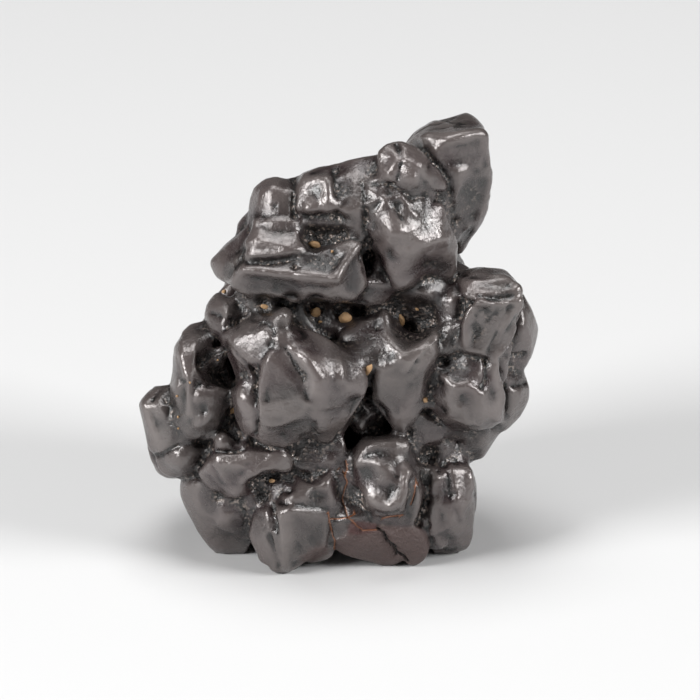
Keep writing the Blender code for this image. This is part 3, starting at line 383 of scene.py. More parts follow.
def facet(points, flatness, sink, outline):
    chosen = near(places, outline, 1.0)
    chosen = chosen[seen_mask[chosen] > 0.05]
    depth = depth_inside(places[chosen], outline)
    weight = np.clip(depth / FACET_EDGE * 0.5 + 0.5, 0, 1) ** 1.5 * seen_mask[chosen]
    inner = depth > 0
    if inner.sum() < FEWEST_POINTS:
        return
    middle = np.average(points[chosen], axis=0, weights=weight)
    around = (points[chosen] - middle)[inner]
    flat_normal = np.linalg.eigh(around.T @ around)[1][:, 0]
    flat_normal *= np.sign(flat_normal @ TOWARDS_CAMERA)
    off = (points[chosen] - middle) @ flat_normal
    weight = weight * np.exp(-(off / SAME_FACE) ** 4)
    dish = sink * MM * np.clip(depth / max(depth.max(), 0.1), 0, 1) ** DISH_POWER
    points[chosen] -= (weight * (flatness * off + dish))[:, None] * flat_normal


def carve(points, strokes):
    for tool, amount, size, *path in strokes:
        tool(points, amount, size, path)
    return len(strokes)


print("tools:", ", ".join(tool.__name__ for tool in (line, spot, facet)))

# %% [markdown]
# ## Melt what was cut too sharply
# In some places two lumps of the solid meet in a slot, or a hollow has a round rim, where the
# real stone flows on. There the points are drawn towards a much eased copy of the whole stone.

# %% Soften slots and hollow rims
# Strength, half width in millimetres, and the path.
MELT_ROUNDS = 70
MELTS = [
    (0.9, 1.3, (-9.6, 35.2), (-8.2, 35.4), (-7, 34.2), (-6.2, 33)),
    (0.8, 1.7, (0.6, 31.4), (2.8, 30.6), (5, 30.6), (7, 32.2), (8, 33.6)),
    (0.7, 1.6, (4.4, 33.2), (6.4, 35)),
    (0.8, 2, (-18.6, 32), (-18.2, 29)),
    (0.8, 1.8, (13.2, 17), (13.4, 16.6)),
    (0.8, 1.8, (-11.4, 11), (-10.4, 11.2)),
    (0.7, 2.2, (11, 37.4), (12, 36.4)),
    (0.6, 1.4, (-12, 38.6), (-9.5, 38.4)),
    (0.6, 1.6, (-3.6, 37.4), (1.4, 36.8)),
    (0.7, 1.2, (16.4, 20.4), (17.4, 20.2)),
    (0.6, 1.3, (4.5, 54.9), (8, 54.2), (12, 53.6)),
    (0.7, 1.3, (-8.6, 49.4), (-6.4, 49.8)),
    (0.8, 1.5, (-11.4, 50.4), (-7, 50.6)),
    (0.6, 1.2, (-6.3, 56), (-6.2, 52)),
    (0.6, 1.4, (-5.6, 49), (-5.2, 47)),
    (0.6, 1.3, (12.5, 53.8), (12.4, 50.4)),
]
MELT_PASSES = 3
MELT_REACH = 9 * MM

places = as_seen(points)
for _ in range(MELT_PASSES):
    melted = eased(points, edges, MELT_ROUNDS, 0.9)
    for strength, width, *path in MELTS:
        chosen = near(places, path, 2.5 * width)
        middle = np.array(towards_stone(surface, *np.mean(path, axis=0))[0])
        away = np.linalg.norm(points[chosen] - middle, axis=1)
        share = strength * bell(places[chosen], path, width) * np.clip(3 - 3 * away / MELT_REACH, 0, 1)
        points[chosen] += share[:, None] * (melted[chosen] - points[chosen])
print("places melted:", len(MELTS))

write_points(stone.data, points)
normals = soft_normals(2)
seen_mask, surface = seen_from_front(points, normals)

# %% [markdown]
# ## The upper blocks
# Each list below is one part of the front, with strokes from large to small. A stroke's two
# numbers are a line's height and half width, a spot's height and radius, or a facet's flatness
# and dish, in millimetres but for flatness. Minus cuts. First come the head that leans back at
# the top right, the wrinkled shoulder before it, and the blocky crown on the left.

# %% Head, shoulder and crown
HEAD = [
    (facet, 0.8, 0.3, (12.6, 62.7), (15.2, 62.2), (18.6, 63), (18.8, 64.7), (15.5, 65.1), (13, 64)),
    (facet, 0.7, 0.15, (12.6, 61.4), (15, 60.8), (18, 61.4), (20.3, 62), (20.8, 60), (20.2, 57.6),
     (16.4, 57.4), (13.6, 58.6)),
    (facet, 0.5, 0.1, (17.2, 56.6), (20.9, 56.6), (20.8, 53), (19, 49.5), (17.4, 47.4), (17, 52)),
    (line, 0.27, 0.56, (11, 62.3), (12.5, 62), (15, 61.5), (18, 62.1), (20.6, 62.8)),
    (line, 0.21, 0.56, (21, 62), (21.3, 59), (21.3, 55.5), (20.6, 52), (19.3, 49.3)),
    (line, -0.35, 0.45, (12.2, 60), (14, 58), (15.6, 56), (16, 53), (16.6, 50)),
    (line, 0.19, 0.7, (17.3, 55.4), (18.8, 56.6), (20.6, 56.8)),
]
SHOULDER = [
    (facet, 0.7, 0.1, (5.6, 58.8), (7.4, 60.6), (8.4, 58.6), (7.2, 56.4)),
    (facet, 0.7, 0.1, (9.2, 60.4), (12.2, 59.4), (11.4, 57.4), (9.2, 58)),
    (facet, 0.7, 0.1, (12.2, 58.8), (14.4, 57), (14.2, 54.6), (12, 55.4)),
    (spot, 0.45, 1.2, (6.3, 60.2)), (spot, 0.35, 1.3, (9.5, 60)), (spot, 0.2, 1.5, (7.4, 57.4)),
    (spot, 0.4, 1.4, (11.5, 58.6)), (spot, 0.4, 1.2, (13.4, 56.6)), (spot, 0.35, 1.1, (10.3, 56)),
    (line, -0.4, 0.35, (8.3, 61), (8.9, 58.8), (8.4, 56)),
    (line, -0.3, 0.35, (9, 58), (11, 57.2), (12.2, 55.4)),
    (line, -0.35, 0.38, (5, 55.3), (7.5, 55.2), (9, 54.3), (10.5, 53.3), (12.5, 53.6)),
    (line, -0.15, 0.4, (12.5, 54.2), (12.6, 52), (12.4, 50)),
    (line, 0.38, 0.5, (4.5, 54.4), (6.5, 53), (8.5, 53.4), (10, 52.4)),
    (line, 0.32, 0.45, (6.3, 54.8), (6.7, 52.5), (5.5, 51)),
    (line, 0.32, 0.48, (9, 53.6), (9.6, 51.8), (11, 50.8)),
    (line, 0.28, 0.45, (2, 53), (4, 52.2), (5.4, 53)),
    (line, -0.34, 0.3, (3.2, 55.6), (3.7, 53.6), (3.5, 52)),
    (line, -0.26, 0.3, (7.9, 52.2), (8.6, 51.2), (9, 50.3)),
    (facet, 0.3, 0.05, (5, 44.4), (8, 41.6), (12.5, 42), (15.2, 43.6), (15.8, 46), (12.5, 46), (9, 44.8)),
    (line, 0.27, 0.7, (12.2, 46.6), (14.2, 47.5), (16, 47.8)),
    (spot, 0.28, 0.8, (5.5, 48.2)), (spot, 0.28, 0.9, (7, 47)), (spot, 0.24, 0.75, (8.7, 48.4)),
    (spot, 0.34, 0.6, (10, 45.8)), (spot, 0.24, 0.7, (8.4, 45.9)),
    (line, 0.28, 0.63, (4.8, 41.3), (8.5, 40.9), (10.5, 42), (13, 43.2), (15.5, 42.7)),
    (line, -0.55, 0.45, (3.9, 52), (3.7, 49.2), (4.3, 47)),
    (spot, -0.9, 0.95, (4.1, 45.2)), (spot, -0.6, 0.8, (4.3, 43.3)),
]
CROWN = [
    (spot, 0.3, 2.2, (-9.2, 53.8)),
    (line, -0.45, 0.4, (-6.3, 56.4), (-6.3, 53), (-6.1, 50.8)),
    (spot, -0.5, 1.45, (-3.4, 54.4)),
    (line, 0.47, 0.59, (-1.5, 56.7), (-1.4, 54), (-1.5, 52.2)),
    (line, 0.47, 0.59, (-5.4, 51.9), (-3, 51.6), (-0.6, 51.9), (0.2, 52.8)),
    (line, 0.38, 0.5, (-5.5, 52), (-5.2, 54), (-4.7, 56.6)),
    (facet, 0.5, 0, (0, 51.3), (3.4, 51.3), (3.7, 56), (0.2, 56.4)),
    (line, 0.21, 0.36, (0.8, 53), (2.2, 53.8), (2.4, 55.4)),
    (facet, 0.7, 0.25, (-10.8, 49.3), (-5.6, 49.3), (-5.2, 47), (-8.5, 46.6), (-11.8, 46.9)),
    (line, 0.38, 0.56, (-11.3, 49.9), (-8.5, 50), (-6.2, 49.9)),
    (line, 0.43, 0.53, (-12.6, 46.9), (-11.8, 48.4), (-11.1, 49.8)),
    (line, 0.38, 0.56, (-12.7, 45.3), (-10, 45.3), (-7, 45.9), (-5, 46.4)),
    (line, -0.4, 0.42, (-12.8, 44.3), (-9, 44.4), (-5.5, 44.9)),
    (spot, -1, 1.5, (-3.3, 47.9)), (spot, -0.8, 1.2, (-1.2, 48)), (spot, -0.5, 0.8, (0.6, 48.4)),
    (line, 0.28, 0.5, (-5, 50), (-2.5, 49.8), (0, 49.9), (1.6, 49.6)),
    (facet, 0.5, 0.3, (-4.6, 45.4), (1.2, 45.6), (-0.2, 43), (-5, 43.4)),
    (facet, 0.7, 0.12, (-14.2, 40.9), (-10, 42), (-4, 41.5), (-0.5, 41), (0.8, 39.3), (-4, 40.4),
     (-9, 39.8), (-12.5, 39.9)),
    (facet, 0.6, 0.2, (0.6, 41.6), (2.9, 45.3), (3.4, 42), (3.3, 39.3), (1.3, 39.1)),
    (line, 0.57, 0.63, (-14.8, 41.5), (-13.3, 43.3), (-10, 43), (-7, 42.7), (-4, 42.4), (-0.3, 42)),
    (line, 0.52, 0.59, (-0.3, 42), (0.8, 44), (2, 45.6), (2.9, 46.7)),
    (spot, -0.4, 0.5, (-6, 43.6)), (spot, -0.25, 0.35, (-8.8, 52.2)), (spot, -0.5, 0.6, (-0.8, 45.9)),
]
places = as_seen(points)
print("strokes:", carve(points, HEAD), carve(points, SHOULDER), carve(points, CROWN))

# %% [markdown]
# ## The middle
# The largest lump of the front sits here, nearest to the eye. It has one three-sided facet in its
# middle, a thin plate on its upper left, and a ridge that runs down its right. Beside it are the
# column and tablet on the left, the funnel on its right, and the tall block at the right edge.

# %% Big lump, column, tablet, funnel and right block
BIG_LUMP = [
    (facet, 0.85, -0.3, (-15, 32.8), (-13.2, 34.4), (-10, 35.4), (-9, 33.5), (-10.2, 31.2),
     (-10.8, 30), (-12.8, 30.1)),
    (line, -0.4, 0.24, (-15.2, 32.7), (-14, 31.2), (-12.8, 29.8)),
    (facet, 0.6, 0.1, (-16.7, 32), (-15.5, 33.9), (-13.5, 30.8), (-14.3, 28.1)),
    (spot, -0.22, 0.35, (-13, 29.1)), (spot, -0.2, 0.3, (-12.4, 28.7)), (spot, -0.2, 0.3, (-13.6, 28.5)),
    (spot, 0.35, 1.7, (-13.1, 24.3)),
    (line, -0.85, 0.36, (-12.3, 29.4), (-11.6, 28.4), (-11.7, 26.5), (-11.4, 24), (-11.5, 22),
     (-11.8, 20)),
    (line, -0.2, 0.14, (-13.8, 23), (-12.2, 23.3)),
    (facet, 0.9, 0, (-10, 31), (-8.8, 30.6), (-6.4, 27.6), (-3.8, 24.2), (-5.5, 23.2), (-8.2, 22.6),
     (-11, 22.9), (-11.2, 25), (-10.6, 28.5)),
    (line, 0.27, 0.49, (-9.4, 31.3), (-10.3, 28.5), (-10.9, 26), (-10.9, 22.6)),
    (facet, 0.6, -0.05, (-7.6, 33.4), (-5.4, 32.2), (-3.2, 29.6), (-2.6, 25.8), (-4, 25), (-5.2, 28.6),
     (-7.2, 31.2)),
    (line, 0.28, 1.26, (-7, 33.4), (-4.8, 31.6), (-2.8, 28.8), (-2.4, 26)),
    (line, -0.08, 0.6, (-8.2, 30.8), (-6, 27.6), (-4, 24.6)),
    (line, 0.27, 0.84, (-6, 32.3), (-4.2, 30.2), (-2.4, 28), (-1.3, 26.2)),
    (spot, 0.15, 1.3, (-8, 36.5)),
    (line, -0.12, 0.4, (-9.6, 35.6), (-8, 35.1), (-6.4, 35.2)),
    (line, 0.33, 0.59, (0.2, 30.4), (0.5, 29), (0.5, 27.8)),
    (facet, 0.5, 0.1, (1, 30.8), (3.2, 29.8), (3.6, 27.5), (1.2, 26.8), (0.9, 28.6)),
    (facet, 0.5, 0.15, (-3, 25), (1.5, 26.3), (1.6, 24), (-0.2, 21), (-3.5, 21.6)),
    (line, 0.27, 0.53, (-10.8, 21.7), (-8, 21.7), (-5, 23.2), (-4.2, 24.2)),
    (facet, 0.6, 0.1, (-10.4, 21.1), (-8, 21), (-4.7, 22.4), (-3.4, 21), (-5, 19.9), (-8.5, 18.6),
     (-10, 19.3)),
    (line, -0.35, 0.35, (-3.4, 21.6), (-3.3, 19.6)),
    (line, -0.22, 0.3, (-12, 36.1), (-9.8, 35.8), (-8.9, 34.6), (-9.4, 33)),
]
COLUMN_AND_TABLET = [
    (facet, 0.85, 0.1, (-22.9, 31.8), (-21.6, 31.5), (-20.8, 27), (-20.8, 22.5), (-22.2, 21.5),
     (-22.7, 26)),
    (line, 0.32, 0.53, (-22, 33), (-21.1, 28), (-20.6, 23.3)),
    (spot, -0.6, 1.1, (-19.1, 30.2)),
    (line, 0.36, 0.48, (-20.3, 32.5), (-20.2, 29), (-19, 27), (-19.8, 25)),
    (spot, -0.45, 1.1, (-18.7, 23.6)),
    (line, 0.32, 0.48, (-20, 21.5), (-18.6, 21.9), (-17.9, 23.3)),
    (spot, -1, 1.5, (-17.4, 31.4)), (spot, -0.9, 1.2, (-16.9, 28.9)),
    (facet, 0.9, 0.05, (-18.6, 38), (-16.6, 39.6), (-15.2, 37.6), (-16.4, 34.2), (-17.9, 34.6)),
    (line, -0.24, 0.3, (-18, 37.2), (-16.2, 36.5), (-14.8, 36.4)),
    (facet, 0.9, 0.1, (-27.8, 24.3), (-25.4, 24.9), (-24.6, 22), (-23.3, 19.3), (-24.2, 17.9),
     (-25.4, 17.4), (-26.7, 20.6)),
    (line, 0.19, 0.42, (-25.2, 25.7), (-24.5, 23), (-23.2, 20), (-22.4, 19.1)),
    (line, -0.45, 0.3, (-26.2, 17), (-25.2, 17), (-24, 17.8), (-22.5, 18.4)),
    (line, -0.16, 0.24, (-26.7, 25.6), (-25.9, 23.9)),
    (line, 0.21, 0.42, (-26.7, 18.6), (-26, 16), (-25, 14.6), (-23, 14.1), (-20.5, 14.2)),
    (spot, 0.3, 1.6, (-22.6, 16.3)),
]
RECESSES = [
    (spot, -0.6, 1, (-10.5, 38.2)), (spot, -0.6, 1.1, (-6.5, 38.8)), (spot, -0.9, 1.3, (-3, 38.2)),
    (spot, -0.8, 1.2, (0.3, 37.6)), (spot, -0.5, 1.2, (3.4, 38)), (spot, -0.6, 1.2, (8.2, 38.3)),
    (spot, -0.8, 2, (5, 22.5)), (spot, -0.7, 1.5, (3, 24)), (spot, -0.6, 0.6, (-4.5, 19.5)),
    (spot, -0.6, 0.7, (-19, 18.8)), (spot, -0.5, 0.6, (-12, 19.3)),
]
FUNNEL = [
    (spot, -0.6, 2.4, (11.2, 35)),
    (facet, 0.6, 0.1, (2, 34.8), (6.3, 36.4), (6.8, 34), (4.6, 31.2), (2.5, 32.8)),
    (facet, 0.6, 0.15, (5, 28), (8.6, 30), (11.4, 29), (13.2, 31), (12, 26), (8.5, 21.8), (5.5, 25)),
    (facet, 0.9, -0.1, (8.8, 29.2), (10, 30.9), (13.2, 34.2), (14.6, 34.4), (14.3, 32.8), (11.4, 29.6),
     (9.6, 28.2)),
    (line, 0.24, 0.63, (9.4, 30.8), (11.4, 32.4), (13.4, 34.6)),
    (line, 0.43, 0.77, (6.6, 37), (6.9, 34.8), (7.8, 32.6), (9, 31)),
    (line, 0.24, 0.7, (4, 30.6), (6, 29.4), (8.5, 30.6)),
    (facet, 0.7, 0.2, (9.9, 33.7), (11, 33.2), (13, 34), (13, 35.2), (11.2, 35)),
    (facet, 0.7, 0.15, (10.3, 21.3), (12, 23.1), (15.8, 20.6), (14.3, 19), (12, 18), (10.6, 17.3)),
]
RIGHT_BLOCK = [
    (facet, 0.7, 0.12, (17.6, 41.7), (24.7, 41.9), (25.2, 40.2), (22.5, 39.9), (19.8, 40.2)),
    (facet, 0.7, 1.1, (18.4, 38), (20.4, 38.3), (24.2, 38.5), (23, 34), (21.3, 31.5), (18, 31.9),
     (17.4, 35)),
    (line, -0.3, 0.35, (19.8, 39.4), (22.5, 39.2), (25, 39.6)),
    (line, 0.43, 0.48, (20.2, 38.7), (22.7, 38.5), (25, 39)),
    (line, 0.52, 0.56, (20.2, 38.8), (19, 37.5), (18.3, 35.5), (18.4, 33)),
    (line, 0.28, 0.56, (16, 40), (16.4, 38), (15.9, 35.5), (15.3, 33)),
    (line, -0.4, 0.5, (17.4, 39), (17.2, 36.5), (16.9, 34)),
    (line, -0.24, 0.24, (17, 42.6), (20, 42.3), (24, 42.5)),
    (line, -0.35, 0.5, (14.5, 30.2), (17, 31.3), (19, 31), (21, 30.4)),
    (line, -0.45, 0.4, (21, 30.4), (20.9, 28.4), (20.3, 26.6)),
    (line, -0.15, 0.4, (15, 29.2), (16.6, 27.7), (18.3, 28), (19.6, 27.2)),
    (line, 0.43, 0.59, (14.8, 28.3), (16.5, 26.8), (18.3, 27), (20, 25.8)),
    (facet, 0.5, 0.2, (15.2, 26.8), (16.5, 25.6), (18.2, 26), (20.2, 24.8), (20.4, 22), (18, 21.4),
     (16, 21.9)),
    (line, 0.24, 0.56, (15.4, 22.4), (17.2, 23.8), (18.4, 21.8)),
    (line, 0.95, 0.77, (25.2, 40.6), (25.6, 38.6), (24.2, 34.6), (22.2, 31), (21.9, 29.4), (22.7, 26),
     (22.9, 22.4)),
    (line, -0.45, 0.45, (24.2, 38.2), (22.9, 34.6), (21.3, 31.6)),
    (line, 0.24, 0.84, (20, 36.6), (20.8, 34.4), (20.4, 32.6)),
    (line, -0.9, 0.5, (26.5, 40.2), (26.5, 38), (25, 34.2), (23.4, 31), (23, 29.4), (23.8, 26),
     (23.9, 22.6)),
    (line, -0.45, 0.4, (22.5, 31), (24.5, 31), (26.5, 31.3)),
    (line, -0.4, 0.4, (23, 26.8), (24.5, 26.8), (26.8, 27.3)),
    (line, -0.3, 0.4, (24.6, 37), (25.4, 34), (24.6, 31.5)),
]
places = as_seen(points)
print("strokes:", carve(points, BIG_LUMP), carve(points, COLUMN_AND_TABLET),
      carve(points, RECESSES), carve(points, FUNNEL), carve(points, RIGHT_BLOCK))

# %% [markdown]
# ## The foot
# Low on the front are the wedge and lobe on the left, the toe that reaches the ground, and the
# cube above the broken brown lump. The lobe on the right has a shell-like hollow at its top.

# %% Wedge, lobes, toe, cube and broken lump
LOWER_LEFT = [
    (facet, 0.6, 0.2, (-17.3, 16), (-13, 16.8), (-7.5, 16.4), (-8.3, 15.5), (-11.5, 15), (-14.6, 13.2),
     (-16, 13)),
    (spot, 0.45, 1.3, (-16, 19)),
    (line, -0.45, 0.32, (-17, 17.7), (-15, 17.4), (-13.2, 18)),
    (line, 0.4, 0.53, (-17, 16.8), (-13, 17.4), (-10, 17.2), (-7.5, 17)),
    (line, 0.3, 0.53, (-18.5, 15.5), (-16.2, 12.6), (-14.5, 11.7)),
    (facet, 0.6, 0.05, (-19.7, 14.3), (-18.4, 15), (-15.4, 11.6), (-16, 11.2), (-18, 12.6)),
    (spot, -0.7, 1, (-12, 12.9)), (spot, -0.8, 1.1, (-10.3, 13.7)), (spot, -0.6, 0.8, (-8.8, 14)),
    (line, 0.23, 0.48, (-13.4, 13.4), (-11, 15), (-9, 15.5), (-7.6, 15)),
    (facet, 0.4, 0.1, (-21.7, 13), (-19.5, 13.3), (-17.6, 11), (-17.3, 6), (-18.5, 5.2), (-20.2, 8)),
    (spot, 0.26, 1.8, (-15.2, 9)), (spot, -0.3, 1, (-17, 11)), (spot, -0.2, 0.6, (-14.6, 7.6)),
    (line, 0.17, 0.56, (-20, 6.4), (-18.2, 4.2), (-16.6, 3.5)),
]
TOE = [
    (facet, 0.6, 0.1, (-12.5, 9.2), (-10, 9.4), (-9.7, 6.5), (-11, 4.9), (-12.4, 5.9)),
    (facet, 0.8, 0.25, (-6.8, 9.2), (-2, 8.9), (-1.6, 6), (-2, 3.8), (-5.2, 2.4), (-6.4, 2.1)),
    (line, -0.45, 0.36, (-9.3, 10.2), (-9.2, 8.5), (-8.8, 6.4)),
    (line, 0.36, 0.56, (-8.4, 9.6), (-8, 7), (-7.5, 4), (-7.3, 1.2)),
    (line, -0.32, 0.4, (-9.7, 5.6), (-9, 3), (-8.5, 1.2)),
    (spot, -0.9, 1.3, (-11, 11.5)),
    (line, 0.25, 0.36, (-12.8, 8), (-12.6, 9.6), (-12.2, 11)),
    (line, 0.36, 0.5, (-5.9, 13.7), (-4.2, 12.5), (-2, 12.5), (-1.1, 14)),
    (spot, -0.4, 1.1, (-2.7, 11.2)), (spot, 0.34, 0.9, (-4.7, 11.4)),
    (line, -0.16, 0.3, (-8, 10.2), (-5, 9.9), (-1.5, 9.5)),
    (spot, 0.3, 0.5, (-7.3, 12.6)), (spot, 0.28, 0.6, (-6.4, 11.3)), (spot, 0.24, 0.45, (-7.6, 11)),
    (spot, 0.22, 0.45, (-5.7, 12.6)), (spot, -0.3, 0.5, (-6.9, 12)),
]
CUBE = [
    (facet, 0.6, 0.2, (3, 18.2), (8.3, 18.2), (8.7, 16.2), (6, 16.5), (3, 16.2)),
    (facet, 0.5, 0.1, (3, 15), (6, 15.3), (8.4, 14.6), (6, 13.3), (3.2, 12.8)),
    (spot, 0.35, 1.5, (5, 11.2)),
    (line, -0.12, 0.5, (7.7, 14.4), (7.7, 12.4), (7.2, 10.9)),
    (line, 0.43, 0.63, (9.3, 18.5), (9.7, 15), (9.5, 12), (8.8, 10.5), (7.4, 9.8)),
    (line, 0.25, 0.48, (3.4, 18.9), (5.5, 18.8), (8.2, 18.8)),
    (line, 0.17, 0.36, (2.8, 15.6), (4.6, 16), (6, 15.8), (7.4, 15.2)),
    (line, 0.4, 0.48, (9.3, 18.2), (9.3, 21)),
    (line, -0.5, 0.5, (4.4, 8.8), (6.4, 8.5), (8.6, 8.9)),
    (line, 0.27, 0.48, (10.3, 6.9), (11.3, 9.5), (11.2, 12), (10.3, 14.5)),
    (line, -0.35, 0.4, (9.9, 8.5), (10.3, 11), (10.2, 13.5)),
    (facet, 0.5, 0.1, (2.6, 11.5), (4.6, 9.6), (6.4, 8.9), (5, 7), (3.6, 7.6)),
    (facet, 0.5, 0.1, (-5.8, 18.1), (-3.4, 18.1), (-3.3, 15.1), (-5.7, 15.3)),
    (facet, 0.5, 0.1, (-2.2, 18.6), (0.7, 18.5), (0.5, 16.7), (-2.2, 16.7)),
    (line, 0.27, 0.48, (-2.3, 16.1), (-0.5, 16.3)),
]
BROKEN_LUMP = [
    (facet, 0.6, 0.05, (0, 4.8), (2.5, 5.3), (5, 5.8), (8.4, 2.5), (5.5, 1.8), (1.5, 2.5)),
    (facet, 0.5, 0.05, (6.6, 6.2), (9.5, 5.9), (12.4, 5), (12, 2.9), (10.6, 2.2)),
    (facet, 0.5, 0.1, (-0.6, 8.2), (2.4, 8.6), (3, 7), (1, 5.4), (-0.6, 5.3)),
    (line, 0.27, 0.42, (-0.3, 5), (1.6, 5.7), (3.4, 6.2)),
    (spot, 0.25, 0.45, (2.4, 6.7)), (spot, 0.25, 0.4, (3.6, 6.9)), (spot, 0.22, 0.4, (4.6, 6.7)),
    (spot, -0.3, 0.4, (3, 6.2)),
]
LOWER_RIGHT = [
    (facet, 0.6, 0.15, (15.9, 14.9), (18.4, 14.5), (18.9, 12.3), (18.8, 9.6), (17.1, 9.5), (16.4, 12)),
    (spot, -1, 1.5, (13, 16.9)),
    (line, 0.36, 0.48, (11.6, 15.4), (12.6, 15.1), (14.2, 16.1), (15.3, 18)),
    (line, 0.43, 0.53, (13.5, 15), (13.7, 13.5), (13.5, 12)),
    (line, -0.25, 0.34, (15.5, 15.3), (15.9, 13), (16, 11), (17.5, 7.5)),
    (line, 0.36, 0.48, (15.8, 15.2), (17, 15.3), (18.5, 15), (19.1, 12.5)),
    (line, 0.23, 0.56, (15.2, 9.6), (16.1, 7), (17.3, 4.6)),
    (line, -0.15, 0.38, (12.4, 13), (12.6, 9), (12.9, 5)),
    (spot, -0.4, 0.4, (16.5, 11.5)), (spot, -0.35, 0.35, (12.9, 7)), (spot, -0.4, 0.4, (13.4, 4.9)),
    (spot, -0.35, 0.4, (12.6, 10.5)),
]
places = as_seen(points)
print("strokes:", carve(points, LOWER_LEFT), carve(points, TOE), carve(points, CUBE),
      carve(points, BROKEN_LUMP), carve(points, LOWER_RIGHT))

# %% [markdown]
# ## Wax and grain
# Strokes leave crisp marks that sand would have softened, so a short smooth comes first. Then a
# low swell of a few tenths of a millimetre keeps large faces from being dead flat, on all sides,
# and small plates that each tilt their own way break them up as grown crystals do.
# The hollows were out of the sand's reach and keep their tiny crystals, so they get a grain.

# %% Soften, swell, grain and deepen the creases
# A swell or grain is a height and the length of its waves, in millimetres.
SWELLS = ((0.14, 5.0), (0.03, 2.4))
GRAIN_HEIGHT, GRAIN_SIZE = 0.18, 0.55
# Rounds of easing that say how wide a hollow is, and its full depth in millimetres.
GRAINY_HOLLOW = (42, 0.55)
PLATE_SIZE = 4.0 * MM
PLATE_SLOPE = 0.04
PLATE_SEED = 22
# Rounds of easing that say how wide a crease is, the share it is deepened by, the depth in mm
# that is left alone, so that faces stay smooth, and the most that is cut.
CREASES = ((60, 0.28, 0.04, 0.45), (14, 1.00, 0.04, 0.30))
ON_GROUND = 0.05 * MM


def hollowness(points, normals, rounds, full):
    return np.clip(sunk_in(eased(points, edges, rounds), points, normals) / (full * MM), -1, 1)


def plates(points, size, slope):
    """Height of small tilted plates: each cell of a scattered set has a slope of its own."""
    chance = np.random.default_rng(PLATE_SEED)
    low, high = points.min(0), points.max(0)
    middles = chance.uniform(low, high, (int(np.prod(high - low) / size ** 3), 3))
    slopes = unit(chance.normal(size=middles.shape)) * slope
    tree = KDTree(len(middles))
    for index, middle in enumerate(middles):
        tree.insert(middle, index)
    tree.balance()
    own = np.array([tree.find(p)[1] for p in points])
    return np.sum((points - middles[own]) * slopes[own], axis=1)


points = eased(points, edges, 2)
write_points(stone.data, points)
normals = soft_normals(2)
points += eased(plates(points, PLATE_SIZE, PLATE_SLOPE)[:, None], edges, 2) * normals
hollow = np.clip(hollowness(points, normals, *GRAINY_HOLLOW), 0, 1)
for seed, (height, size) in enumerate(SWELLS):
    points += (height * MM * wavy(points, size, seed))[:, None] * normals
points += (GRAIN_HEIGHT * MM * hollow * wavy(points, GRAIN_SIZE, 7))[:, None] * normals
for rounds, share, spared, most in CREASES:
    crease = sunk_in(eased(points, edges, rounds), points, normals)
    points -= np.clip(share * crease - spared * MM, 0, most * MM)[:, None] * normals
points[:, 2] = np.where(start_height < ON_GROUND, 0.0, np.maximum(points[:, 2], 0.0))
write_points(stone.data, points)
print("hollow share:", round(float((hollow > 0.4).mean()), 3))

# %% [markdown]
# ## Fewer triangles, and more at the cracks
# A decimate modifier merges points where the surface is plain and keeps them where it bends. The
# rusty cracks are hair thin, so the faces along them are split twice afterwards, and then the
# cracks are cut into the finer mesh.

# %% Thin out, then refine along the cracks
MOST_TRIANGLES = 176000
REFINE_WITHIN = (0.55, 0.35)
CRACK_CUT, GAP_CUT = (-0.22, 0.13), (-0.60, 0.15)
CRACKS = [
    [(1.1, 16.3), (1.3, 15), (0.9, 14.3), (1.3, 13.2), (0.9, 12), (0.7, 10.8), (1.2, 9), (1.4, 8.3)],
    [(0, 15), (1, 14.5)],
    [(-0.9, 8), (0, 8), (1.3, 8.2), (2.7, 8.9)],
    [(1.4, 8.2), (2.5, 7.2), (3.5, 6.3), (5.5, 6.4), (6, 6.5)],
    [(-1.3, 9), (-1, 7), (-0.8, 5.5), (-0.5, 4.9), (-0.5, 3.6)],
    [(6.2, 8), (7.5, 8.3), (9.3, 8.5)],
    [(10.3, 10), (10.9, 11.8), (11.2, 13.5)],
]
GAP = [(5.6, 6.6), (6.5, 6.0), (6.9, 5.0), (7.9, 4.1), (8.4, 3.2), (9.4, 2.6), (10, 1.8)]

thin = stone.modifiers.new("fewer triangles", "DECIMATE")
thin.ratio = MOST_TRIANGLES / (2 * len(stone.data.polygons))
thin.use_collapse_triangulate = True
apply_modifiers(stone)
work = bmesh.new()
work.from_mesh(stone.data)
for reach in REFINE_WITHIN:
    work.verts.ensure_lookup_table()
    spots = as_seen(np.array([v.co for v in work.verts]))
    facing = np.array([v.normal for v in work.verts]) @ TOWARDS_CAMERA
    gap = np.min([distance_to_path(spots, path) for path in CRACKS + [GAP]], axis=0)
    close = set(np.flatnonzero((gap < reach) & (facing > 0)))
    crossing = [edge for edge in work.edges if close.issuperset(v.index for v in edge.verts)]
    bmesh.ops.subdivide_edges(work, edges=crossing, cuts=1, use_grid_fill=True)
    work.verts.index_update()
bmesh.ops.triangulate(work, faces=[f for f in work.faces if len(f.verts) > 3])
work.to_mesh(stone.data)
work.free()
print("stone of", len(stone.data.polygons), "triangles")

# %% Cut the cracks
edges = read_edges(stone.data)
points = read_points(stone.data)
normals = soft_normals(2)
seen_mask, surface = seen_from_front(points, normals)
places = as_seen(points)
for path in CRACKS:
    line(points, *CRACK_CUT, path)
line(points, *GAP_CUT, GAP)
write_points(stone.data, points)
print("cracks:", len(CRACKS) + 1)
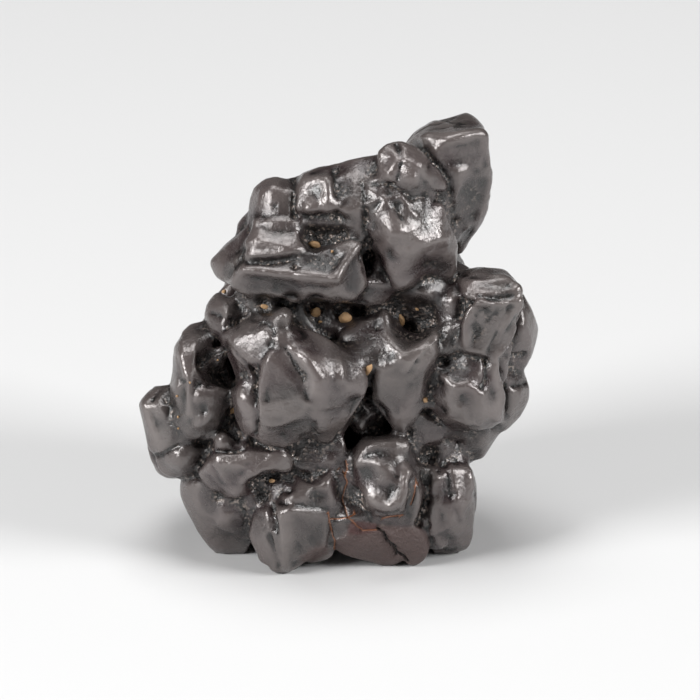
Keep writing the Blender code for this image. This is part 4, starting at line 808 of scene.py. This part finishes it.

# %% [markdown]
# ## Notes for the painter
# The finish changes with the shape. Ridges and polished areas are smoother and carry a painted highlight.
# Hollows, creases, the gap in the broken lump and dull areas are darkened with painted shade, and hollows
# and dull areas are rougher too. The stone is rusty at the cracks and brown where a lump has broken. Each
# of these is written on the mesh as a named attribute, a number per point, which the material reads.
# Painting by hand would do the same.

# %% Write the attributes
BROKEN = [(-0.6, 3.4), (1.6, 2), (6, 1), (9.3, 1), (11.8, 1.2), (13, 3), (12.9, 5.6), (11.6, 7),
          (9.4, 6.8), (6.4, 7.2), (3.4, 7.6), (1.3, 7.2), (1.4, 5.6), (-0.4, 5)]
RED = [(1.4, 5.8), (3.2, 5.8), (5.8, 6.3), (5.4, 7.2), (3.4, 7.7), (1.9, 7.6)]
CHIP = [(-5.2, 1.5), (-3, 1.8), (-1.3, 3.2), (-1.7, 4.3), (-3.5, 3.8), (-5.2, 2.6)]
# Each area has a share of the full polish, with a painted highlight in its colour, where minus is a dull
# skin darkened with painted shade.
POLISH_AND_PAINTED_LIGHT = [
    (0.9, (13, 62.4), (15.3, 61.9), (18.2, 62.6), (18.3, 64.3), (15.6, 65), (13.4, 64)),
    (0.4, (15.2, 61.4), (18.4, 61.8), (20.2, 61.6), (19.9, 59.2), (18.2, 57.6), (16, 59.4)),
    (0.5, (-5, 56), (-1.6, 56), (-1.4, 52.2), (-4.6, 52.4)),
    (0.4, (2, 56), (7, 58.5), (12, 57.5), (12, 55.4), (6, 55.6), (3, 54)),
    (0.6, (-11.4, 49.2), (-6.2, 49.2), (-5.8, 47.2), (-11.6, 47.2)),
    (-0.9, (-5.2, 49.4), (1, 49.6), (2.6, 47), (0.8, 43.4), (-4, 43.4), (-12.6, 44), (-12.4, 45),
     (-6, 45.2)),
    (-0.5, (-14, 40.6), (3, 40.6), (3.4, 38.6), (-12.4, 38.4)),
    (-0.6, (0.6, 42.4), (2.8, 45.8), (3.6, 42), (3.2, 39), (1, 39.4)),
    (-0.9, (-12.5, 38.6), (-4, 39), (5, 38.6), (14, 38.4), (14, 36), (9, 34.6), (5, 35.6), (0, 35.4),
     (-5, 36.2), (-12, 37.2)),
    (0.4, (5, 51.8), (12, 51), (15.6, 49), (15.6, 45), (9, 44.6), (5, 46)),
    (-0.6, (8, 41.6), (15, 41.6), (15, 37), (9, 37.6)),
    (-0.6, (-15.4, 32.6), (-13.4, 34.4), (-10.4, 35.4), (-9.2, 33.2), (-10.4, 31), (-12.8, 30.2)),
    (0.8, (-10.8, 25.8), (-6, 25.6), (-4.4, 24.4), (-8, 22.8), (-11, 22.9)),
    (0.9, (-7.6, 33), (-5, 31.6), (-3, 28.6), (-2.4, 25.6), (-4.2, 25.4), (-5.4, 28.6), (-7.6, 31)),
    (0.5, (-14.6, 26.6), (-12.2, 27), (-11.8, 21), (-13.4, 22)),
    (0.8, (-28, 24.4), (-26, 24.6), (-24.2, 19.6), (-25.4, 17.4), (-27, 20)),
    (0.5, (-22.6, 31.6), (-21.6, 31.6), (-20.6, 24), (-21.6, 21.4)),
    (-0.5, (-23, 26.6), (-22, 26.6), (-21.4, 20), (-22.4, 19.4)),
    (0.9, (9.2, 29.2), (10, 30.7), (13.4, 34), (14.4, 33.8), (11.4, 29.8)),
    (0.6, (7, 36.4), (8, 36), (8.4, 33.2), (10, 31.4), (8.6, 30.8), (7.2, 33)),
    (-0.6, (13.6, 31), (16.2, 31), (18.6, 29.6), (18.4, 27.6), (16, 28), (14.6, 25), (13, 26.4)),
    (-0.9, (16.2, 42.7), (20.4, 43.3), (24, 43), (23.6, 42.2), (17, 42)),
    (0.7, (18.4, 37.8), (24.6, 39), (25.2, 38.4), (22.8, 33.2), (20.6, 31.8), (18, 33)),
    (0.5, (17.4, 41.6), (24.6, 41.8), (25.2, 40.4), (20, 40.2)),
    (-0.5, (14.8, 26), (17, 26), (19.8, 25), (20.4, 22.4), (17, 22.4), (15.2, 23.4)),
    (0.9, (24.8, 41), (25.9, 40), (25.6, 37), (23.2, 32.4), (22.5, 30), (23.3, 26), (22.8, 22),
     (21.9, 22), (22.3, 26), (21.4, 29.6), (24, 35), (24.9, 38)),
    (0.5, (20.6, 25.4), (22.4, 24.6), (22.8, 21.6), (20.8, 21.4), (19, 21.6)),
    (0.5, (-16.8, 16.8), (-13, 17.4), (-9, 17), (-9.4, 16), (-13, 15.6), (-16.4, 14.6)),
    (0.6, (-8.4, 9.4), (-7.4, 9.4), (-6.8, 3), (-7.4, 1.4), (-8, 5)),
    (-0.6, (-12.8, 9), (-10, 9.2), (-9.8, 5), (-11.4, 4.6), (-12.6, 5.8)),
    (0.8, (3.8, 11.8), (5.4, 12.2), (6.4, 11), (5.4, 9.6), (4, 9.8)),
    (0.7, (8.8, 16), (9.9, 16), (9.8, 12), (8.6, 10.2), (6.4, 9.6), (6.4, 10.4), (8.6, 11.8)),
    (0.5, (13, 15), (14.2, 15), (14, 12), (13.2, 12)),
    (0.5, (16, 15), (18.6, 14.8), (19, 12.4), (18.4, 11.6), (17, 13.4)),
]
# Rounds of easing and full depth, as for the grain, of wide hollows and of narrow creases.
WIDE, NARROW = (70, 0.60), (12, 0.10)
# How far the crack stains, the painted shade along the gap, and soft borders reach, in millimetres.
CRACK_STAIN, GAP_SHADE = 0.11, 0.20
BROKEN_BORDER, RED_BORDER, POLISH_AND_LIGHT_BORDER = 0.5, 0.8, 1.2


def note(name, values):
    layer = stone.data.attributes.new(name, "FLOAT", "POINT")
    layer.data.foreach_set("value", np.asarray(values, np.float32))


def area(outline, soft):
    return np.clip(depth_inside(places, outline) / soft + 0.5, 0, 1) * seen


normals = soft_normals(1)
seen = np.clip(seen_mask * 2, 0, 1)
wide, narrow = hollowness(points, normals, *WIDE), hollowness(points, normals, *NARROW)
# Wide hollows are darkened with painted shade in the colour, and made rougher.
note("hollow", np.clip(wide, 0, 1))
# Ridges carry a painted highlight in the colour, and a smoother skin.
note("ridge", np.clip(-0.25 * narrow - 0.6 * wide, 0, 1))
# Narrow creases are darkened with painted shade.
note("crevice", np.clip(1.6 * narrow - 0.5, 0, 1))
note("rust", np.max([bell(places, path, CRACK_STAIN) for path in CRACKS], axis=0) * seen)
# The gap in the broken lump is painted near black, as painted shade in the split.
note("gap", bell(places, GAP, GAP_SHADE) * seen)
note("broken", np.maximum(area(BROKEN, BROKEN_BORDER), area(CHIP, BROKEN_BORDER)))
note("red", area(RED, RED_BORDER))
# Polished areas carry a painted highlight and dull areas carry painted shade, besides their roughness.
for name, sign in (("polish_and_highlight", 1), ("dull", -1)):
    painted = [max(0, sign * amount) * area(outline, POLISH_AND_LIGHT_BORDER) for amount, *outline in POLISH_AND_PAINTED_LIGHT]
    note(name, np.max(painted, axis=0))
stone.data.shade_smooth()
print("notes:", [a.name for a in stone.data.attributes if a.data_type == "FLOAT"])

# %% [markdown]
# ## The stone's finish
# Limonite and goethite are brown-black iron oxides. Desert wind gives them a waxy polish, so the ridges
# shine softly, and their colour carries a painted highlight besides. The hollows are rougher, dull and
# dusty, their colour is darkened with painted shade, and they are full of tiny crystal faces whose bright
# specks are a painted glint.
# Colours are read as on a screen, so one function turns them to the linear values that Blender
# wants, one starts a material, and one adds a node with its settings and links.

# %% Three helpers for materials
def colour(text):
    shares = [int(text[i:i + 2], 16) / 255 for i in (1, 3, 5)]
    return (*[s / 12.92 if s <= 0.04045 else ((s + 0.055) / 1.055) ** 2.4 for s in shares], 1.0)


def new_material(name):
    made = bpy.data.materials.new(name)
    made.use_nodes = True
    return made, made.node_tree, made.node_tree.nodes["Principled BSDF"]


def add_node(tree, kind, inputs=None, **settings):
    made = tree.nodes.new(kind)
    for name, value in settings.items():
        setattr(made, name, value)
    for name, value in (inputs or {}).items():
        if isinstance(value, bpy.types.NodeSocket):
            tree.links.new(value, made.inputs[name])
        else:
            made.inputs[name].default_value = value
    return made


print("screen grey #808080 is", round(colour("#808080")[0], 3), "in light")

# %% Wind-polished limonite: where each tone goes
limonite, tree, shader = new_material("wind_polished_limonite")
position = add_node(tree, "ShaderNodeTexCoord").outputs["Object"]
NOTES = ["hollow", "ridge", "crevice", "polish_and_highlight", "dull", "broken", "red", "rust", "gap"]
noted = {name: add_node(tree, "ShaderNodeAttribute", attribute_name=name).outputs["Fac"]
         for name in NOTES}

# Sizes are real: beds of iron oxide change over about 9 mm, scour marks are 1.6 mm long, and
# single grains of the stone are 0.55 mm, which is coarser than life so that a picture can hold
# them. Each cloud has its size, detail, roughness and distortion.
CLOUDS = {"beds": (9.0, 3, 0.50, 0.0), "scour": (1.6, 5, 0.62, 1.0), "grain": (0.55, 4, 0.60, 0.3)}
CRYSTAL_SIZE = 0.35
clouds = {}
for name, (size, detail, rough, swirl) in CLOUDS.items():
    cloud = add_node(tree, "ShaderNodeTexNoise", {
        "Vector": position, "Scale": 1 / (size * MM), "Detail": detail, "Roughness": rough,
        "Distortion": swirl})
    clouds[name] = cloud.outputs["Fac"]
crystals = add_node(tree, "ShaderNodeTexVoronoi",
                    {"Vector": position, "Scale": 1 / (CRYSTAL_SIZE * MM)})
print("maps:", len(noted) + len(clouds) + 1)

# %% Wind-polished limonite: colour
# A layer is a colour, the map that says where it lies, that map's range, and how much of it shows.
LAYERS = [
    ("#34292a", clouds["beds"], 0.40, 0.62, 1.00),
    ("#1e1716", clouds["scour"], 0.46, 0.64, 0.25),
    ("#564c48", clouds["grain"], 0.50, 0.70, 0.30),
    # Painted highlight on the polished areas.
    ("#857e7b", noted["polish_and_highlight"], 0.00, 1.00, 0.45),
    # Painted shade on the dull areas.
    ("#151010", noted["dull"], 0.00, 1.00, 0.80),
    # Painted highlight on the ridges.
    ("#7a716e", noted["ridge"], 0.15, 1.00, 0.50),
    # Painted shade in the creases.
    ("#0c0908", noted["crevice"], 0.00, 0.90, 0.95),
    # Painted shade in the hollows.
    ("#161211", noted["hollow"], 0.10, 0.90, 0.80),
    ("#3f2924", noted["broken"], 0.00, 1.00, 0.85),
    ("#3d110c", noted["red"], 0.20, 0.70, 0.90),
    ("#8a5430", noted["rust"], 0.20, 0.80, 0.85),
    # Painted shade in the gap of the broken lump.
    ("#0c0807", noted["gap"], 0.30, 0.90, 1.00),
]
base = colour("#302b2a")
for text_colour, where, low, high, most in LAYERS:
    share = add_node(tree, "ShaderNodeMapRange",
                     {"Value": where, "From Min": low, "From Max": high, "To Max": most})
    layered = add_node(tree, "ShaderNodeMix",
                       {0: share.outputs["Result"], 6: base, 7: colour(text_colour)}, data_type="RGBA")
    base = layered.outputs[2]
# Single crystal faces glint in the hollows: the few cells whose random value is high get a painted glint,
# a lighter colour, and a lower roughness.
glint = add_node(tree, "ShaderNodeMapRange",
                 {"Value": crystals.outputs["Color"], "From Min": 0.70, "From Max": 0.75})
glint = add_node(tree, "ShaderNodeMath", {0: glint.outputs["Result"], 1: noted["hollow"]},
                 operation="MULTIPLY")
glinting = add_node(tree, "ShaderNodeMix", {0: glint.outputs[0], 6: base, 7: colour("#8f827a")},
                    data_type="RGBA")
base = glinting.outputs[2]
tree.links.new(base, shader.inputs["Base Color"])
print("colour layers:", len(LAYERS))

# %% Wind-polished limonite: polish and relief
# Roughness is a low start and terms, each a map and what it adds. Open faces come to about 0.28,
# which is waxy, the hollows to 0.5 and the fresh break to near 0.6, which is dull.
ROUGHER = [
    (clouds["scour"], 0.30), (noted["hollow"], 0.22), (noted["broken"], 0.30), (noted["dull"], 0.06),
    (noted["ridge"], -0.08), (noted["polish_and_highlight"], -0.08), (glint.outputs[0], -0.30),
]
rough = 0.13
for value, amount in ROUGHER:
    term = add_node(tree, "ShaderNodeMath", {0: value, 1: amount, 2: rough}, operation="MULTIPLY_ADD")
    rough = term.outputs[0]
tree.links.new(rough, shader.inputs["Roughness"])
# Fresh goethite bends light by 2.2 and shines near half as a metal does. The worn skin does less
# of both, and this gives its broad, greyish highlights.
shader.inputs["IOR"].default_value = 1.8
shader.inputs["Metallic"].default_value = 0.25

pits = add_node(tree, "ShaderNodeMath", {0: crystals.outputs["Distance"], 1: noted["hollow"]},
                operation="MULTIPLY")
break_grain = add_node(tree, "ShaderNodeMath", {0: clouds["grain"], 1: noted["broken"]},
                       operation="MULTIPLY")
RELIEF = [(clouds["scour"], 0.26), (clouds["grain"], 0.16), (pits.outputs[0], 0.35),
          (break_grain.outputs[0], 0.60)]
RELIEF_DEPTH = 0.5 * MM
height = 0.0
for value, amount in RELIEF:
    term = add_node(tree, "ShaderNodeMath", {0: value, 1: amount, 2: height}, operation="MULTIPLY_ADD")
    height = term.outputs[0]
bump = add_node(tree, "ShaderNodeBump",
                {"Height": height, "Strength": 1.0, "Distance": RELIEF_DEPTH})
tree.links.new(bump.outputs["Normal"], shader.inputs["Normal"])
stone.data.materials.clear()
stone.data.materials.append(limonite)
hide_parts("stone")
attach(stone, "root")
print("limonite nodes:", len(tree.nodes))

# %% [markdown]
# ## Grains of sand
# Desert sand still sits in the hollows. The coarsest grains are about two millimetres long, and
# all are pale tan and worn round. Each starts as a small ball, is stretched, roughened and turned,
# and is set where a line from the camera meets the stone, sunk by a third, to lie in its hollow.

# %% Set the grains
# Right, up, half width and half height in millimetres, and the turn in degrees.
GRAINS = [
    (-3.2, 46.8, 0.90, 0.55, 10), (-3.2, 37.2, 0.65, 0.95, 25), (1.1, 36.3, 0.85, 1.00, 0),
    (8.9, 36.2, 0.45, 1.15, -12), (4.2, 29.3, 0.40, 1.05, 22), (-10.2, 38.1, 0.60, 0.35, 20),
    (-16.2, 40.3, 0.30, 0.30, 0), (-15, 23.3, 0.35, 0.75, 12), (-9.3, 13.3, 0.45, 0.35, 30),
    (12.3, 25, 0.35, 0.45, 0), (-2.5, 36, 0.28, 0.22, 0), (-0.8, 45.8, 0.22, 0.22, 0),
    (-22.6, 22.5, 0.16, 0.22, 0), (-22.7, 25.5, 0.20, 0.18, 0), (-22.6, 20.9, 0.15, 0.18, 0),
    (11.2, 37.8, 0.30, 0.20, 35), (-20.9, 27.4, 0.14, 0.18, 0), (-17, 30.6, 0.15, 0.15, 0),
]
FLATNESS, STANDS_OUT = 0.8, 0.3


def grain_lump(place, apart):
    return 0.30 * noise.noise(place * 1.3 + apart) + 0.06 * noise.noise(place * 5)


work = bmesh.new()
for index, (right, up, half_wide, half_tall, turn) in enumerate(GRAINS):
    hit, outward = towards_stone(surface, right, up)
    apart = Vector((index * 7.7, 0, 0))
    thin_half = min(half_wide, half_tall)
    add_ball(work, hit + outward * STANDS_OUT * thin_half * MM,
             (half_wide * MM, FLATNESS * thin_half * MM, half_tall * MM), turn,
             lambda place: grain_lump(place, apart))
grains_mesh = bpy.data.meshes.new("sand_grains")
work.to_mesh(grains_mesh)
work.free()
grains_mesh.shade_smooth()
grains = add_object("sand_grains", grains_mesh)
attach(grains, "root")
print("grains:", len(GRAINS))

# %% Tan quartz sand
# Blown sand is frosted, so a grain is matt and pale, with browner stains a part of its size.
STAIN_SIZE = 0.8
sand, tree, shader = new_material("tan_quartz_sand")
position = add_node(tree, "ShaderNodeTexCoord").outputs["Object"]
stains = add_node(tree, "ShaderNodeTexNoise",
                  {"Vector": position, "Scale": 1 / (STAIN_SIZE * MM), "Detail": 4.0})
tan = add_node(tree, "ShaderNodeMix",
               {0: stains.outputs["Fac"], 6: colour("#c9a67c"), 7: colour("#8a6644")}, data_type="RGBA")
tree.links.new(tan.outputs[2], shader.inputs["Base Color"])
shader.inputs["Roughness"].default_value = 0.6
bump = add_node(tree, "ShaderNodeBump",
                {"Height": stains.outputs["Fac"], "Strength": 0.8, "Distance": 0.2 * MM})
tree.links.new(bump.outputs["Normal"], shader.inputs["Normal"])
grains.data.materials.append(sand)
print("sand nodes:", len(tree.nodes))

# %% [markdown]
# ## Table, light and camera
# A white table and a pale room light the dark stone softly from all round, and three softboxes,
# one above and one on each side, draw the gentle highlights on its ridges. The camera stands far
# off with a long lens, so that the picture has next to no perspective, as in a photograph of a
# small thing.

# %% White table
TABLE_SIZE = 12.0
work = bmesh.new()
bmesh.ops.create_grid(work, x_segments=1, y_segments=1, size=TABLE_SIZE / 2)
table_mesh = bpy.data.meshes.new("white_table")
work.to_mesh(table_mesh)
work.free()
table = add_object("white_table", table_mesh)
# A matt white laminate spreads the shadows softly and shows no mirror image.
white, _, shader = new_material("white_laminate")
shader.inputs["Base Color"].default_value = colour("#d6d6d6")
shader.inputs["Roughness"].default_value = 0.6
table.data.materials.append(white)
print("table:", TABLE_SIZE, "m")

# %% Light
ROOM_LIGHT = 0.07
# Place in metres, width in metres, and power in watts.
LAMPS = {
    "top softbox": ((-0.05, 0.10, 1.05), 0.60, 6.5),
    "left softbox": ((-0.85, -0.55, 0.55), 0.45, 14.0),
    "right softbox": ((0.90, -0.40, 0.55), 0.40, 10.6),
}
AIM = from_seen(*FRONT_MIDDLE)


def aim(thing, place):
    thing.location = place
    thing.rotation_euler = (AIM - Vector(place)).to_track_quat("-Z", "Y").to_euler()


room = bpy.data.worlds.new("pale room")
room.use_nodes = True
background = room.node_tree.nodes["Background"]
background.inputs["Color"].default_value = colour("#ffffff")
background.inputs["Strength"].default_value = ROOM_LIGHT
bpy.context.scene.world = room
for name, (place, width, watts) in LAMPS.items():
    lamp = bpy.data.lights.new(name, "AREA")
    lamp.shape = "SQUARE"
    lamp.size = width
    lamp.energy = watts
    aim(add_object(name, lamp), place)
print("lamps:", len(LAMPS))

# %% Camera
CAMERA_AWAY = 1.2
FIELD_WIDE = 100 * MM
SENSOR_WIDE = 36.0
camera_data = bpy.data.cameras.new("camera")
camera_data.sensor_width = SENSOR_WIDE
camera_data.lens = SENSOR_WIDE * CAMERA_AWAY / FIELD_WIDE
camera_data.clip_end = 50.0
camera = add_object("camera", camera_data)
aim(camera, AIM + Vector(TOWARDS_CAMERA) * CAMERA_AWAY)
bpy.context.scene.camera = camera
bpy.context.scene.view_settings.view_transform = "Standard"
print("lens:", round(camera_data.lens), "mm")
